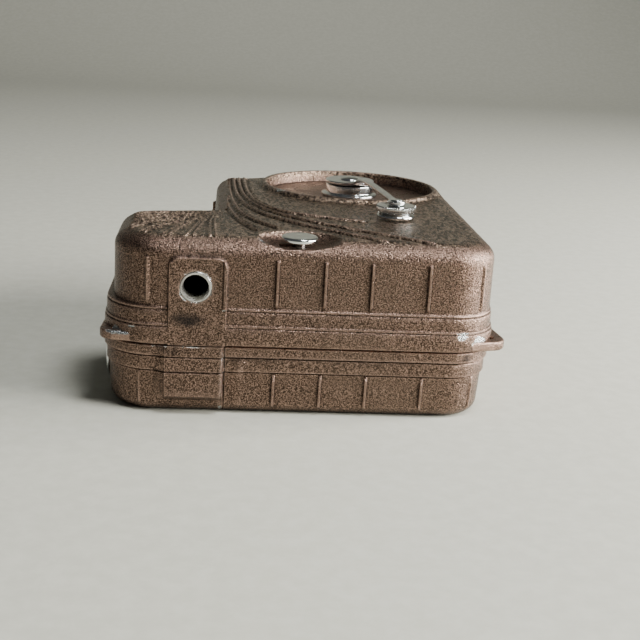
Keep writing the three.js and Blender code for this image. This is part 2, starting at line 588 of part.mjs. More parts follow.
const GATE = { x: -5.4, thick: 0.8 };
function aperturePlate() {
  const plate = block(GATE.x - GATE.thick, GATE.x, 6.5, 31, 5, 18.2);
  const window = block(-8, -3, LENS.y - 1.7, LENS.y + 1.7, LENS.z - 2.3, LENS.z + 2.3);
  const clawSlot = block(-8, -3, 12.5, 19.5, 14.4, 16.2);
  return cut(plate, window, clawSlot);
}
function pressurePad() {
  const feet = [12.5, 22].map((y) => block(-4.2, -3.2, y, y + 1.5, 9.5, 12.5));
  return join(block(-4.9, -4.1, 10, 26, 8.2, 14.2), ...feet);
}
const pressureSpring = () =>
  prism([[-1.7, 11.6], [-1.3, 11.6], [-0.3, 18], [-1.3, 24.4], [-1.7, 24.4], [-0.7, 18]], 9.8, 12.2);
function claw() {
  const arm = block(-2.2, 9.2, 14.6, 17.4, 14.6, 15.6);
  const tooth = prism([[-5.3, 15.4], [-2.1, 14.9], [-2.1, 16.9], [-5.3, 16.2]], 15, 15.6);
  return join(arm, tooth);
}

// ---- Shutter ----
function shutterDisc() {
  const open = THREE.MathUtils.degToRad(150);
  const steps = 24;
  const sector = Array.from({ length: steps + 1 }, (_, k) => {
    const a = open / 2 + ((2 * Math.PI - open) * k) / steps;
    return new THREE.Vector2(SHUTTER.r * Math.cos(a), SHUTTER.r * Math.sin(a));
  });
  const thick = 0.4;
  const blade = new THREE.ExtrudeGeometry(new THREE.Shape([new THREE.Vector2(0, 0), ...sector]), {
    depth: thick,
    bevelEnabled: false,
  });
  // Drawn with the opening along +X, then stood up so that the opening faces down to the gate.
  blade.rotateZ(-Math.PI / 2).rotateX(Math.PI / 2).rotateZ(Math.PI / 2);
  const placed = toSolid(blade.translate(SHUTTER.x, LENS.y, SHUTTER.z));
  return cut(
    join(placed, rodX(LENS.y, SHUTTER.z, 3, SHUTTER.x, SHUTTER.x + thick)),
    rodX(LENS.y, SHUTTER.z, 0.95, SHUTTER.x - 2, SHUTTER.x + 3, 12),
  );
}
function crownShaft() {
  const bars = Array.from({ length: TEETH.crown }, (_, i) => {
    const bar = new THREE.BoxGeometry(1.2, 0.5, 1.3).translate(0.7, 0, 6);
    bar.rotateX(((i + 0.5) * 2 * Math.PI) / TEETH.crown);
    return toSolid(bar.translate(0, LENS.y, SHUTTER.z));
  });
  return join(
    rodX(LENS.y, SHUTTER.z, 6.55, -0.6, 0.2, 24),
    rodX(LENS.y, SHUTTER.z, 0.9, SHUTTER.x - 0.6, 0, 12),
    rodX(LENS.y, SHUTTER.z, 1.8, SHUTTER.x + 0.5, SHUTTER.x + 1.5, 12),
    ...bars,
  );
}
const BRIDGE = { left: -4.2, right: -2.4 };
function shutterBridge() {
  const upright = block(BRIDGE.left, BRIDGE.right, LENS.y - 5, LENS.y + 5, PLATE.high + 0.05, 26);
  return cut(upright, rodX(LENS.y, SHUTTER.z, 0.98, -6, 0, 12));
}

// ---- Mechanism plate ----
function mechanismPlate() {
  const inside = loft([[PLATE.low, -CASE.wall - 0.4], [PLATE.high, -CASE.wall - 0.4]]);
  const trimmed = inside.intersect(block(-4.5, 60, 0, 100, 10, 30));
  return cut(
    join(trimmed, ...Object.values(ROLLERS).map(rollerStud)),
    block(-1.4, 2.3, LENS.y - 7.6, LENS.y + 7.6, 10, 30),
    ...[FIRST, SECOND, THIRD, CAMSHAFT, GOVERNOR].map(shaftHole),
    ...[RECESS, TAKEUP].map(({ x, y }) => rodZ(x, y, 2, 10, 30)),
    ...PLATE_POSTS.map(([x, y]) => rodZ(x, y, SCREW.shank + 0.15, 10, 30, 8)),
    rodZ(LATCH.x, LATCH.y, 1.76, 10, 30),
  );
}
const latchPost = () =>
  join(rodZ(LATCH.x, LATCH.y, 1.7, 6.2, PLATE.high), rodZ(LATCH.x, LATCH.y, 1.2, 5.2, 6.3));

// ---- Lens ----
function lensMount() {
  const [face, front, back] = [MOUNT_FACE - 0.05, MOUNT_FACE - 0.6, -19];
  return turnedX(LENS.y, LENS.z, [
    [6.2, -25.2], [7.4, -25.2], [7.4, front], [8.8, front], [9, front + 0.2], [9, face],
    [8.3, face], [8.3, back], [6.2, back], [6.2, -25.2],
  ], 28);
}
const lensBarrel = () =>
  turnedX(LENS.y, LENS.z, [
    [3, -27.1], [5, -27.1], [5, -25.5], [6.1, -25.5], [6.1, -17.5], [4.4, -17.5], [4.4, -21],
    [4, -21], [4, -25.4], [3, -26.2], [3, -27.1],
  ]);
const frontElement = () =>
  turnedX(LENS.y, LENS.z, [[0, -24.9], [2.4, -24.5], [3.9, -23.6], [3.9, -22.4], [0, -22.4]]);
const rearElement = () =>
  turnedX(LENS.y, LENS.z, [[0, -20.7], [4.3, -20.7], [4.3, -19.2], [2.4, -18.5], [0, -18.2]]);
function apertureRing() {
  const ring = turnedX(LENS.y, LENS.z, [
    [5.1, -27.1], [6.8, -27.1], [7.2, -26.8], [7.2, -25.7], [5.1, -25.7], [5.1, -27.1],
  ], 28);
  const pointer = block(-27.3, -26.98, LENS.y - 0.6, LENS.y + 0.6, LENS.z + 6, LENS.z + 9);
  return join(ring, pointer);
}

// ---- Folding finder ----
// Drawn flat: s runs up the slope from the notch corner, h stands off the wall.
const FINDER = { low: 26, high: 37.6, start: 3.4, length: 23.4, leaf: 10.6 };
const onSlope = (geometry) =>
  geometry.rotateZ(SLOPE).translate(NOTCH.x, slopeAt(NOTCH.x), 0);
function slopeBox(s0, s1, h0, h1, z0, z1) {
  const box = new THREE.BoxGeometry(s1 - s0, h1 - h0, z1 - z0);
  return toSolid(onSlope(box.translate((s0 + s1) / 2, (h0 + h1) / 2, (z0 + z1) / 2)));
}
function slopeRod(s, h, r, z0, z1, sides = 12) {
  const rod = new THREE.CylinderGeometry(r, r, z1 - z0, sides).rotateX(Math.PI / 2);
  return toSolid(onSlope(rod.translate(s, h, (z0 + z1) / 2)));
}
const HINGE_H = 1.75;
const FINDER_END = FINDER.start + FINDER.length;
const FINDER_HINGES = [FINDER.start + 1, FINDER_END - 1];
const hingeHole = (s) => slopeRod(s, HINGE_H, 0.45, 20, 45, 8);

function finderBase() {
  const plate = slopeBox(FINDER.start, FINDER_END, 0.05, 0.75, FINDER.low, FINDER.high);
  const ears = FINDER_HINGES.flatMap((s) => [
    slopeBox(s - 0.8, s + 0.8, 0.7, 2.6, FINDER.low, FINDER.low + 0.9),
    slopeBox(s - 0.8, s + 0.8, 0.7, 2.6, FINDER.high - 0.9, FINDER.high),
  ]);
  return cut(join(plate, ...ears), ...FINDER_HINGES.map(hingeHole));
}
const finderPin = (s) => slopeRod(s, HINGE_H, 0.36, FINDER.low + 0.1, FINDER.high - 0.1, 8);
function finderLeaf(s, sign, edge) {
  const [z0, z1] = [FINDER.low + 1.15, FINDER.high - 1.15];
  const span = (a, b) => [Math.min(a, b), Math.max(a, b)];
  const far = s + sign * FINDER.leaf;
  const leaf = slopeBox(...span(s, far), HINGE_H - 0.5, HINGE_H + 0.5, z0, z1);
  const window = slopeBox(...span(s + sign * 2.2, far - sign * edge), 0, 4, z0 + edge, z1 - edge);
  return cut(join(leaf, slopeRod(s, HINGE_H, 0.8, z0, z1)), window, hingeHole(s));
}
function finderGlass() {
  const [start, end] = [FINDER_HINGES[0] + 2.3, FINDER_HINGES[0] + FINDER.leaf - 1.4];
  const [low, high] = [FINDER.low + 2.55, FINDER.high - 2.55];
  return slopeBox(start, end, HINGE_H - 0.3, HINGE_H + 0.3, low, high);
}

// ---- Start button ----
function startButton() {
  const thick = 1.2;
  return join(
    rodZ(BUTTON.x, BUTTON.y, BUTTON.r, BUTTON.top - thick, BUTTON.top, 24),
    rodZ(BUTTON.x, BUTTON.y, 1.25, 34.6, BUTTON.top - thick + 0.1),
  );
}
function releaseSlide() {
  const bar = block(BUTTON.x - 5, BUTTON.x + 4, BUTTON.y - 2.2, BUTTON.y + 2.2, 33.2, 34.5);
  const finger = block(BUTTON.x - 1, BUTTON.x + 2, BUTTON.y + 2, BUTTON.y + 5, 33.2, 34);
  return join(bar, finger);
}
// The spring's coils stand as plates on a thin core.
function releaseSpring() {
  const start = BUTTON.x + 4.4;
  const coils = [0, 1.1, 2.2, 3.3].map((x) =>
    block(start + x, start + x + 0.5, BUTTON.y - 1, BUTTON.y + 1, 33.3, 34.4),
  );
  return join(block(start, start + 3.8, BUTTON.y - 0.3, BUTTON.y + 0.3, 33.6, 34.1), ...coils);
}

// ---- Door latch ----
function latchDial() {
  const { x, y } = LATCH;
  const dial = join(rodZ(x, y, LATCH.r, 0.05, 0.8, 24), rodZ(x, y, 2.15, 0.5, 3.1));
  return cut(dial, block(x - 5, x + 5, y - 0.6, y + 0.6, -1, 0.5));
}
function latchBar() {
  const { x, y } = LATCH;
  return cut(block(x - 6, x + 6, y - 2.6, y + 2.6, 3.2, 4.4), rodZ(x, y, 1.3, 3, 5));
}

// ---- Assembly ----
const camera = new THREE.Group();
camera.position.set(-FRAME_ORIGIN.x, -FRAME_ORIGIN.y, 0);
function add(name, solid, material) {
  const mesh = new THREE.Mesh(toGeometry(solid), MATERIALS[material]);
  mesh.name = name;
  camera.add(mesh);
}

add("main_housing", housing(), "enamel");
add("front_cover", frontCover(), "enamel");
add("film_door", filmDoor(), "enamel");
COVER_POSTS.forEach(([x, y], i) => add(`cover_screw_${i + 1}`, screw(x, y, 0.95), "steel"));
PLATE_POSTS.forEach(([x, y], i) => add(`plate_screw_${i + 1}`, screw(x, y, PLATE.low - 0.05), "steel"));
add("tripod_bush", cut(
  rodY(BUSH.x, BUSH.z, BUSH.r, -PAD.proud, BUSH.depth, 20),
  rodY(BUSH.x, BUSH.z, BUSH.bore, -3, BUSH.depth + 2, 20),
), "steel");
add("lens_mount", lensMount(), "chrome");
add("lens_barrel", lensBarrel(), "black");
add("lens_front_element", frontElement(), "glass");
add("lens_rear_element", rearElement(), "glass");
add("aperture_ring", apertureRing(), "chrome");
add("mechanism_plate", mechanismPlate(), "brass");
add("shutter_bridge", shutterBridge(), "brass");
add("shutter_disc", shutterDisc(), "black");
add("shutter_shaft", crownShaft(), "brass");
add("aperture_plate", aperturePlate(), "black");
add("pressure_pad", pressurePad(), "steel");
add("pressure_spring", pressureSpring(), "steel");
add("claw", claw(), "steel");
add("spring_barrel", springBarrel(), "brass");
add("great_wheel", greatWheel(), "brass");
add("mainspring", mainspring(), "steel");
add("winding_arbor", windingArbor(), "steel");
add("ratchet_wheel", ratchetWheel(), "steel");
add("ratchet_pawl", ratchetPawl(), "steel");
add("pawl_stud", pawlStud(), "steel");
add("first_wheel", firstArbor(), "brass");
add("second_wheel", secondArbor(), "brass");
add("third_wheel", thirdArbor(), "brass");
add("camshaft", camshaft(), "steel");
add("governor_spindle", governorSpindle(), "steel");
add("governor_drum", governorDrum(), "brass");
add("supply_spindle", spindle(RECESS, PLATE.high), "steel");
add("takeup_spindle", takeupSpindle(), "steel");
add("supply_spool", spool(RECESS), "black");
add("takeup_spool", spool(TAKEUP), "black");
for (const [which, at] of Object.entries(ROLLERS)) {
  add(`${which}_roller`, roller(at), "steel");
}
add("crank_bearing", crankBearing(), "brass");
add("crank_hub", crankHub(), "chrome");
add("crank_arm", crankArm(), "chrome");
add("crank_rivet", crankRivet(), "steel");
add("crank_knob", crankKnob(), "chrome");
add("crank_knob_pin", knobPin(), "steel");
add("start_button", startButton(), "chrome");
add("release_slide", releaseSlide(), "steel");
add("release_spring", releaseSpring(), "steel");
add("finder_base", finderBase(), "chrome");
add("finder_front_frame", finderLeaf(FINDER_HINGES[0], 1, 1.3), "chrome");
add("finder_rear_frame", finderLeaf(FINDER_HINGES[1], -1, 3), "chrome");
add("finder_glass", finderGlass(), "glass");
add("finder_front_pin", finderPin(FINDER_HINGES[0]), "steel");
add("finder_rear_pin", finderPin(FINDER_HINGES[1]), "steel");
add("latch_post", latchPost(), "steel");
add("latch_dial", latchDial(), "steel");
add("latch_bar", latchBar(), "steel");

export default camera;
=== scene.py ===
"""A pocket clockwork cine camera in bronze wrinkle enamel, lying on its film door."""

import functools
import math

import bmesh
import bpy
import numpy as np
from mathutils import Matrix, Vector
from mathutils.geometry import delaunay_2d_cdt


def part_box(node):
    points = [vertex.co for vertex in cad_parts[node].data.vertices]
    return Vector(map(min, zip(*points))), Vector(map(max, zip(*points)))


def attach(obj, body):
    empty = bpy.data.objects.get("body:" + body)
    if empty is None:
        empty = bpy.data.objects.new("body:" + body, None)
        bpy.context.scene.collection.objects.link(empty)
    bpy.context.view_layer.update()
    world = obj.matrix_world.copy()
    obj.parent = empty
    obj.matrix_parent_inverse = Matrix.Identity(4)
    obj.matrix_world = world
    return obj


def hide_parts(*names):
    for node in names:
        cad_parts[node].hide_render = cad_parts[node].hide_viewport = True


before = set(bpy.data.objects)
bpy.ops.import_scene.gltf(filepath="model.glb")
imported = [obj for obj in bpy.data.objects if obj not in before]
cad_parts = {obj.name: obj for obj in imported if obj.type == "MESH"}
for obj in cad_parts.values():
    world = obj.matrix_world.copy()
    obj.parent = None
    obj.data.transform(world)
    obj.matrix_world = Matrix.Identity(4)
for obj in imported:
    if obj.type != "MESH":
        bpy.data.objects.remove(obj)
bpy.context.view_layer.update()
MM = 0.001

# ---- The case's own coordinates, in millimetres ----
# Zero is the front plane, the film door's seam and the table. The dish's centre ties them to the frame.
DISH = np.array([33.0, 73.0])
HUB_LOW, HUB_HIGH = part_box("crank_hub")
HUB_CENTRE = np.array([HUB_LOW.x + HUB_HIGH.x, HUB_LOW.y + HUB_HIGH.y]) / 2 / MM
ZERO = np.array([HUB_CENTRE[0] - DISH[0], HUB_CENTRE[1] - DISH[1], 0.0])

LEFT, RIGHT, TOP, SEAM = -27.2, 60.4, 40.3, 16.3
WALL = 1.9
LEAN_FLANGE, LEAN_WALL = 0.7, 1.9  # how far the lens end falls back above the seam
SLOPE = math.radians(26)
BACK = (RIGHT - 26, 72.4, 26)
NOTCH = (-3.7, 35.2)
BLOCK_BACK_Y = 30.4
DISH_R, DISH_FLOOR = 22.83, 38.3
RIM_R, RIM_TOP = 25.2, 41.35  # the rim's outside radius in plan, and its crest
PAD_LEFT, PAD_RIGHT, PAD_TOP, PAD_PROUD = -12.9, 0.2, 36.4, 0.9
BUSH = (-6.75, 29.7)
BUTTON = (15.6, 5.2)
KNOB = np.array([40.1, 30.2])
LENS = (18.0, 12.0)
LATCH = (33.0, 49.5)
LOWER_PAD = (-13.6, -0.4)  # left and right side of the lower casting's square pad
FRONT_RIBS = [11.0, 21.5, 31.8, 44.5]
RIGHT_RIBS = [16.0, 29.0, 42.0, 55.0, 68.0]
NOTCH_RIBS = [46.0, 57.0, 68.0]
CORNER_RIBS = [(-17.2, 0.3), (57.0, 2.6)]


# ---- Mesh helpers ----
MERGE_DISTANCE = 1e-7  # metres
KNURL_REACH = 0.5  # knurling cuts only what lies this near the widest radius


def make(name, verts, faces, smooth_angle=35.0):
    """A mesh object from points in case millimetres."""
    mesh = bpy.data.meshes.new(name)
    points = (np.asarray(verts, float) + ZERO) * MM
    mesh.from_pydata(points.tolist(), [], [tuple(int(i) for i in f) for f in faces])
    mesh.validate()
    obj = bpy.data.objects.new(name, mesh)
    bpy.context.scene.collection.objects.link(obj)
    tidy_mesh(obj, smooth_angle)
    return obj


def tidy_mesh(obj, smooth_angle=35.0):
    """Merges doubled points, turns the faces outwards and shades them smooth up to an angle."""
    bm = bmesh.new()
    bm.from_mesh(obj.data)
    bmesh.ops.remove_doubles(bm, verts=bm.verts, dist=MERGE_DISTANCE)
    bmesh.ops.recalc_face_normals(bm, faces=bm.faces)
    bm.to_mesh(obj.data)
    bm.free()
    obj.data.shade_smooth()
    obj.data.set_sharp_from_angle(angle=math.radians(smooth_angle))


def ring_faces(count, rings, closed=True):
    """Quads between rings of count points each."""
    steps = count if closed else count - 1
    faces = []
    for r in range(rings - 1):
        for i in range(steps):
            j = (i + 1) % count
            faces.append((r * count + i, r * count + j, (r + 1) * count + j, (r + 1) * count + i))
    return faces


def baked(obj):
    """Applies an object's modifiers to its mesh."""
    graph = bpy.context.evaluated_depsgraph_get()
    mesh = bpy.data.meshes.new_from_object(obj.evaluated_get(graph))
    obj.modifiers.clear()
    obj.data = mesh


def boolean(obj, cutter, operation="DIFFERENCE"):
    """Cuts a cutter away from obj, or keeps what lies inside it. The cutter is then thrown away."""
    mod = obj.modifiers.new("cut", "BOOLEAN")
    mod.object = cutter
    mod.operation = operation
    mod.solver = "EXACT"
    baked(obj)
    bpy.data.objects.remove(cutter)
    tidy_mesh(obj)
    return obj


def soften(obj, width):
    """Rounds a piece's edges by a width in mm, as a modifier."""
    mod = obj.modifiers.new("soften", "BEVEL")
    mod.width = width * MM
    mod.segments = 2
    mod.limit_method = "ANGLE"
    mod.angle_limit = math.radians(50)


def brick(x0, x1, y0, y1, z0, z1):
    corners = [(x, y, z) for z in (z0, z1) for x, y in ((x0, y0), (x1, y0), (x1, y1), (x0, y1))]
    faces = [(0, 3, 2, 1), (4, 5, 6, 7), (0, 1, 5, 4), (1, 2, 6, 5), (2, 3, 7, 6), (3, 0, 4, 7)]
    return make("brick", corners, faces)


def lathe(name, centre, profile, axis="Z", sides=96, knurl=None):
    """A turned piece. profile lists (radius, height); knurl is (from, to, teeth, depth) by height."""
    turns = np.arange(sides) * 2 * math.pi / sides
    verts = []
    widest = max(radius for radius, _ in profile)
    for radius, height in profile:
        r = np.full(sides, float(radius))
        if knurl and knurl[0] <= height <= knurl[1] and radius > widest - KNURL_REACH:
            r -= knurl[3] * np.abs(np.sin(turns * knurl[2] / 2)) ** 0.7
        a, b = r * np.cos(turns), r * np.sin(turns)
        h = np.full(sides, float(height))
        if axis == "Z":
            verts.append(np.stack([centre[0] + a, centre[1] + b, h], 1))
        elif axis == "X":
            verts.append(np.stack([h, centre[0] + a, centre[1] + b], 1))
        else:
            verts.append(np.stack([centre[0] + a, h, centre[1] + b], 1))
    faces = ring_faces(sides, len(profile))
    last = (len(profile) - 1) * sides
    if profile[0][0] > 0.1:  # a tube: its profile closes on itself
        faces += [(last + i, last + (i + 1) % sides, (i + 1) % sides, i) for i in range(sides)]
    else:
        faces += [tuple(range(sides)), tuple(range(last, last + sides))]
    return make(name, np.concatenate(verts), faces)


def slab(name, loops, z0, z1, bevel):
    """A flat piece with rounded edges from closed loops in plan: an outside and its holes."""
    curve = bpy.data.curves.new(name, "CURVE")
    curve.dimensions = "2D"
    curve.fill_mode = "BOTH"
    curve.extrude = ((z1 - z0) / 2 - bevel) * MM
    curve.bevel_depth = bevel * MM
    curve.bevel_resolution = 3
    curve.offset = -bevel * MM
    for loop in loops:
        spline = curve.splines.new("POLY")
        spline.points.add(len(loop) - 1)
        for point, (x, y) in zip(spline.points, loop):
            point.co = ((x + ZERO[0]) * MM, (y + ZERO[1]) * MM, 0, 1)
        spline.use_cyclic_u = True
    rough = bpy.data.objects.new(name, curve)
    bpy.context.scene.collection.objects.link(rough)
    graph = bpy.context.evaluated_depsgraph_get()
    mesh = bpy.data.meshes.new_from_object(rough.evaluated_get(graph))
    bpy.data.objects.remove(rough)
    mesh.transform(Matrix.Translation((0, 0, (z0 + z1) / 2 * MM)))
    obj = bpy.data.objects.new(name, mesh)
    bpy.context.scene.collection.objects.link(obj)
    tidy_mesh(obj)
    return obj


def circle(x, y, r, count=96):
    turns = np.arange(count) * 2 * math.pi / count
    return np.stack([x + r * np.cos(turns), y + r * np.sin(turns)], 1)


def merged(name, objects):
    """Several closed meshes as one object."""
    bm = bmesh.new()
    for obj in objects:
        bm.from_mesh(obj.data)
    mesh = bpy.data.meshes.new(name)
    bm.to_mesh(mesh)
    bm.free()
    for obj in objects:
        bpy.data.objects.remove(obj)
    obj = bpy.data.objects.new(name, mesh)
    bpy.context.scene.collection.objects.link(obj)
    tidy_mesh(obj)
    return obj


# ---- The case's outline in plan ----
def slope_at(x):
    touch = (BACK[0] - BACK[2] * math.sin(SLOPE), BACK[1] + BACK[2] * math.cos(SLOPE))
    return touch[1] + (x - touch[0]) * math.tan(SLOPE)


CORNERS = [
    (LEFT, 0.0, 11.5, 56),
    (RIGHT, 0.0, 10.5, 56),
    (RIGHT, slope_at(RIGHT), 26.0, 90),
    (NOTCH[0], slope_at(NOTCH[0]), 3.5, 12),
    (NOTCH[0], NOTCH[1], 2.5, 10),
    (LEFT, BLOCK_BACK_Y, 6.5, 20),
]
COLUMN_STEP = 0.8
PAD_STOPS = [PAD_LEFT, PAD_RIGHT, PAD_RIGHT - 1.1, -13.1]  # x of the pads' sides and bevel
NOTCH_END_Y = 38.2  # the notch wall's last column, just above its corner
PLAIN_PIECES = {2: 34, 4: 26, 5: 16}  # cuts of each edge without ribs
RIB_STEPS = [-0.62, -0.46, -0.36, -0.26, -0.1, 0.1, 0.26, 0.36, 0.46, 0.62]


def with_stops(length, stops):
    """Distances along an edge: even steps, and close ones round each stop."""
    wanted = sorted(s + d for s in stops for d in RIB_STEPS if 0.2 < s + d < length - 0.2)
    even = np.arange(COLUMN_STEP, length - COLUMN_STEP / 2, COLUMN_STEP)
    free = [e for e in even if all(abs(e - w) > 0.25 for w in wanted)]
    kept = []
    for s in sorted(wanted + free):
        if not kept or s - kept[-1] > 0.06:
            kept.append(s)
    return kept


def outline_path(lean):
    """Points and outward normals round the case, counter-clockwise."""
    corners = [np.array([x + (lean if x == LEFT else 0), y]) for x, y, _, _ in CORNERS]
    count = len(corners)
    along = [corners[(i + 1) % count] - corners[i] for i in range(count)]
    along = [a / np.linalg.norm(a) for a in along]
    arcs = []
    for i, (_, _, radius, steps) in enumerate(CORNERS):
        before, after = along[i - 1], along[i]
        side = math.copysign(1, before[0] * after[1] - before[1] * after[0])
        angle = math.acos(float(np.clip(before @ after, -1, 1)))
        start = corners[i] - before * radius * math.tan(angle / 2)
        inward = np.array([-before[1], before[0]]) * side
        centre = start + inward * radius
        turns = side * angle * np.arange(steps + 1) / steps
        c, s = np.cos(turns), np.sin(turns)
        spoke = -inward
        out = np.stack([spoke[0] * c - spoke[1] * s, spoke[0] * s + spoke[1] * c], 1)
        arcs.append((centre + out * radius, out * side))
    points, normals = [], []
    for i in range(count):
        points.append(arcs[i][0])
        normals.append(arcs[i][1])
        start, end = arcs[i][0][-1], arcs[(i + 1) % count][0][0]
        way = along[i]
        out = np.array([way[1], -way[0]])
        if i == 0:  # front edge, measured back from the right-hand corner
            full = end[0] - LOWER_PAD[0]
            stops = [end[0] - x for x in FRONT_RIBS + PAD_STOPS]
            steps = [end - way * d for d in reversed(with_stops(full, stops))]
        elif i == 1:
            stops = [y - start[1] for y in RIGHT_RIBS]
            steps = [start + way * d for d in with_stops(end[1] - start[1], stops)]
        elif i == 3:  # notch wall, measured from the finder side
            full = start[1] - NOTCH_END_Y
            steps = [start + way * d for d in with_stops(full, [start[1] - y for y in NOTCH_RIBS])]
        else:
            pieces = PLAIN_PIECES[i]
            steps = [start + (end - start) * k / pieces for k in range(1, pieces)]
        points.append(np.array(steps))
        normals.append(np.tile(out, (len(steps), 1)))
    return np.concatenate(points), np.concatenate(normals)


FLAT_PATH, FLAT_NORMALS = outline_path(0.0)
LEANT_PATH, LEANT_NORMALS = outline_path(LEAN_WALL)
COLUMNS = len(FLAT_PATH)


def ring(offset, lean):
    """The outline at an offset, which may be a number or one per column."""
    mix = lean / LEAN_WALL
    points = FLAT_PATH * (1 - mix) + LEANT_PATH * mix
    normals = FLAT_NORMALS * (1 - mix) + LEANT_NORMALS * mix
    normals /= np.linalg.norm(normals, axis=1)[:, None]
    return points + normals * np.broadcast_to(offset, COLUMNS)[:, None]


def smooth(t):
    t = np.clip(t, 0, 1)
    return t * t * (3 - 2 * t)


def path_length():
    steps = np.linalg.norm(np.diff(LEANT_PATH, axis=0), axis=1)
    return np.concatenate([[0], np.cumsum(steps)])


ALONG = path_length()


def rib_profile(height):
    """Each column's rise over the wall, in mm, where a rib passes it."""
    places = [(x, 0.0, height) for x in FRONT_RIBS] + [(RIGHT, y, height) for y in RIGHT_RIBS]
    places += [(NOTCH[0], y, height) for y in NOTCH_RIBS] + [(x, y, height / 2) for x, y in CORNER_RIBS]
    rise = np.zeros(COLUMNS)
    for *place, height in places:
        nearest = int(np.argmin(np.linalg.norm(LEANT_PATH - np.array(place), axis=1)))
        away = np.abs(ALONG - ALONG[nearest])
        rise = np.maximum(rise, height * (1 - smooth((away - 0.22) / 0.24)))
    return rise


def window(z, low, high, soft=0.35):
    """One between low and high, falling to nothing over a soft edge."""
    return smooth((z - low) / soft) * smooth((high - z) / soft)


def rounded_box(x, z, x0, x1, z0, z1, radius, soft):
    """How far inside a round-cornered rectangle a point is, as 0 to 1 over a soft edge."""
    dx = np.maximum(np.maximum(x0 + radius - x, x - x1 + radius), 0)
    dz = np.maximum(np.maximum(z0 + radius - z, z - z1 + radius), 0)
    corner = radius - np.hypot(dx, dz)
    return smooth(corner / soft)


def cap(plan, first):
    """Triangles that close a ring of points, whose numbers start at first."""
    count = len(plan)
    loop = [(i, (i + 1) % count) for i in range(count)]
    _, _, tris, origins, *_ = delaunay_2d_cdt([Vector(p) for p in plan], loop, [], 1, 1e-6)
    number = {new: olds[0] for new, olds in enumerate(origins) if olds}
    return [tuple(first + number[i] for i in tri) for tri in tris]


# ---- Upper casting ----
FILLET = (4.8, 4.0)  # width in plan and height of the rounding between wall and top
EDGE_RING = 1.2  # the top's mesh starts this far inside the wall
UPPER_PROFILE = [
    (16.46, 0.45), (16.54, 0.68), (16.68, 0.85), (16.9, 0.9), (18.5, 0.9), (20.1, 0.9), (20.35, 0.84),
    (20.5, 0.6), (20.62, 0.58), (20.74, 0.72), (20.95, 0.74), (21.15, 0.68), (21.3, 0.46), (21.45, 0.45),
    (22.6, 0.45), (23.85, 0.45), (24.05, 0.38), (24.2, 0.16), (24.32, 0.16), (24.44, 0.3),
    (24.65, 0.32), (24.85, 0.24), (25.0, 0.05), (25.15, 0.0),
]


def fillet_height(inset):
    """The top's height at a distance in from the wall."""
    width, height = FILLET
    t = np.clip((width - np.asarray(inset, float)) / width, 0, 1)
    return TOP - height * (1 - np.sqrt(1 - t * t))


def rim_height(x, y):
    """The raised rim's height round the dish, and a low value away from it."""
    r = np.hypot(x - DISH[0], y - DISH[1])
    radii = [22.84, 22.95, 23.15, 23.5, 23.9, 24.3, 24.6, 24.95, 25.4]
    heights = [40.95, 41.15, 41.3, RIM_TOP, 41.3, 41.05, 40.7, 40.42, 30]
    return np.where(r < radii[0], 41, np.interp(r, radii, heights))


# The scooped pocket: an ellipsoid's centre and half widths, and a flat floor.
POCKET = (BUTTON[0], BUTTON[1] - 0.6, 41.0, 9.4, 7.2, 3.3)
POCKET_FLOOR = 38.35


def pocket_depth(x, y, z):
    """Lowers what lies inside the scooped pocket round the start button to its bowl."""
    cx, cy, cz, rx, ry, rz = POCKET
    inside = 1 - ((x - cx) / rx) ** 2 - ((y - cy) / ry) ** 2
    bowl = cz - rz * np.sqrt(np.clip(inside, 0, None))
    flat_bowl = np.maximum(bowl, POCKET_FLOOR)
    return np.where((inside > 0) & (z > flat_bowl), flat_bowl, z)


def catmull(points, samples=14):
    """A smooth curve through points in plan."""
    p = np.array([points[0]] + list(points) + [points[-1]], float)
    out = []
    for i in range(1, len(p) - 2):
        for t in np.arange(samples) / samples:
            a, b, c, d = p[i - 1 : i + 3]
            out.append(0.5 * (2 * b + (c - a) * t + (2 * a - 5 * b + 4 * c - d) * t**2
                              + (3 * b - a - 3 * c + d) * t**3))
    out.append(p[-2])
    return np.array(out)


SWEEP_ENDS = [(6, 11), (11, 14), (36, 2.5), (46, 3), (32, 25)]  # where each long line runs out
SWEEP_START = (-2.0, 86.0)  # the first line's upper end, beside the notch wall
SWEEP_PITCH = 1.45  # between the lines where they run straight
SWEEP_BEND = (22.0, 3.0)  # the first line's bend height in plan, and how much later each next one turns
FAN_FOOT = (-2.5, 32.0)
FAN_ANGLES = np.radians(np.linspace(200, 268, 8))
FAN_LIMITS = (-22.2, 3.4)  # the fan stops this short of the lens block's left and front edges


@functools.cache
def sweep_curves():
    """Nested lines that run straight down by the notch wall, then bend away towards the front right."""
    curves = []
    t = np.linspace(0, 1, 60)[:, None]
    for k, end in enumerate(SWEEP_ENDS):
        x, bend = SWEEP_START[0] + SWEEP_PITCH * k, SWEEP_BEND[0] + SWEEP_BEND[1] * k
        pulls = (x, SWEEP_START[1]), (x + 0.3, bend + 2), (x + 4.5, bend), end
        a, b, c, d = (np.array(p, float) for p in pulls)
        curves.append((1 - t) ** 3 * a + 3 * t * (1 - t) ** 2 * b + 3 * t * t * (1 - t) * c + t**3 * d)
    return curves


@functools.cache
def fan_curves():
    """Double lines that fan out over the lens block from the foot of the notch."""
    curves = []
    foot = np.array(FAN_FOOT)
    for angle in FAN_ANGLES:
        way = np.array([math.cos(angle), math.sin(angle)])
        length = min((FAN_LIMITS[0] - foot[0]) / way[0], (FAN_LIMITS[1] - foot[1]) / way[1])
        side = np.array([-way[1], way[0]])
        for apart in (-0.5, 0.5):
            middle = foot + way * length * 0.45 + side * (apart * 0.9 - 0.9)
            last = foot + way * length + side * apart * 1.3
            curves.append(catmull([foot + side * apart * 0.3, middle, last]))
    return curves


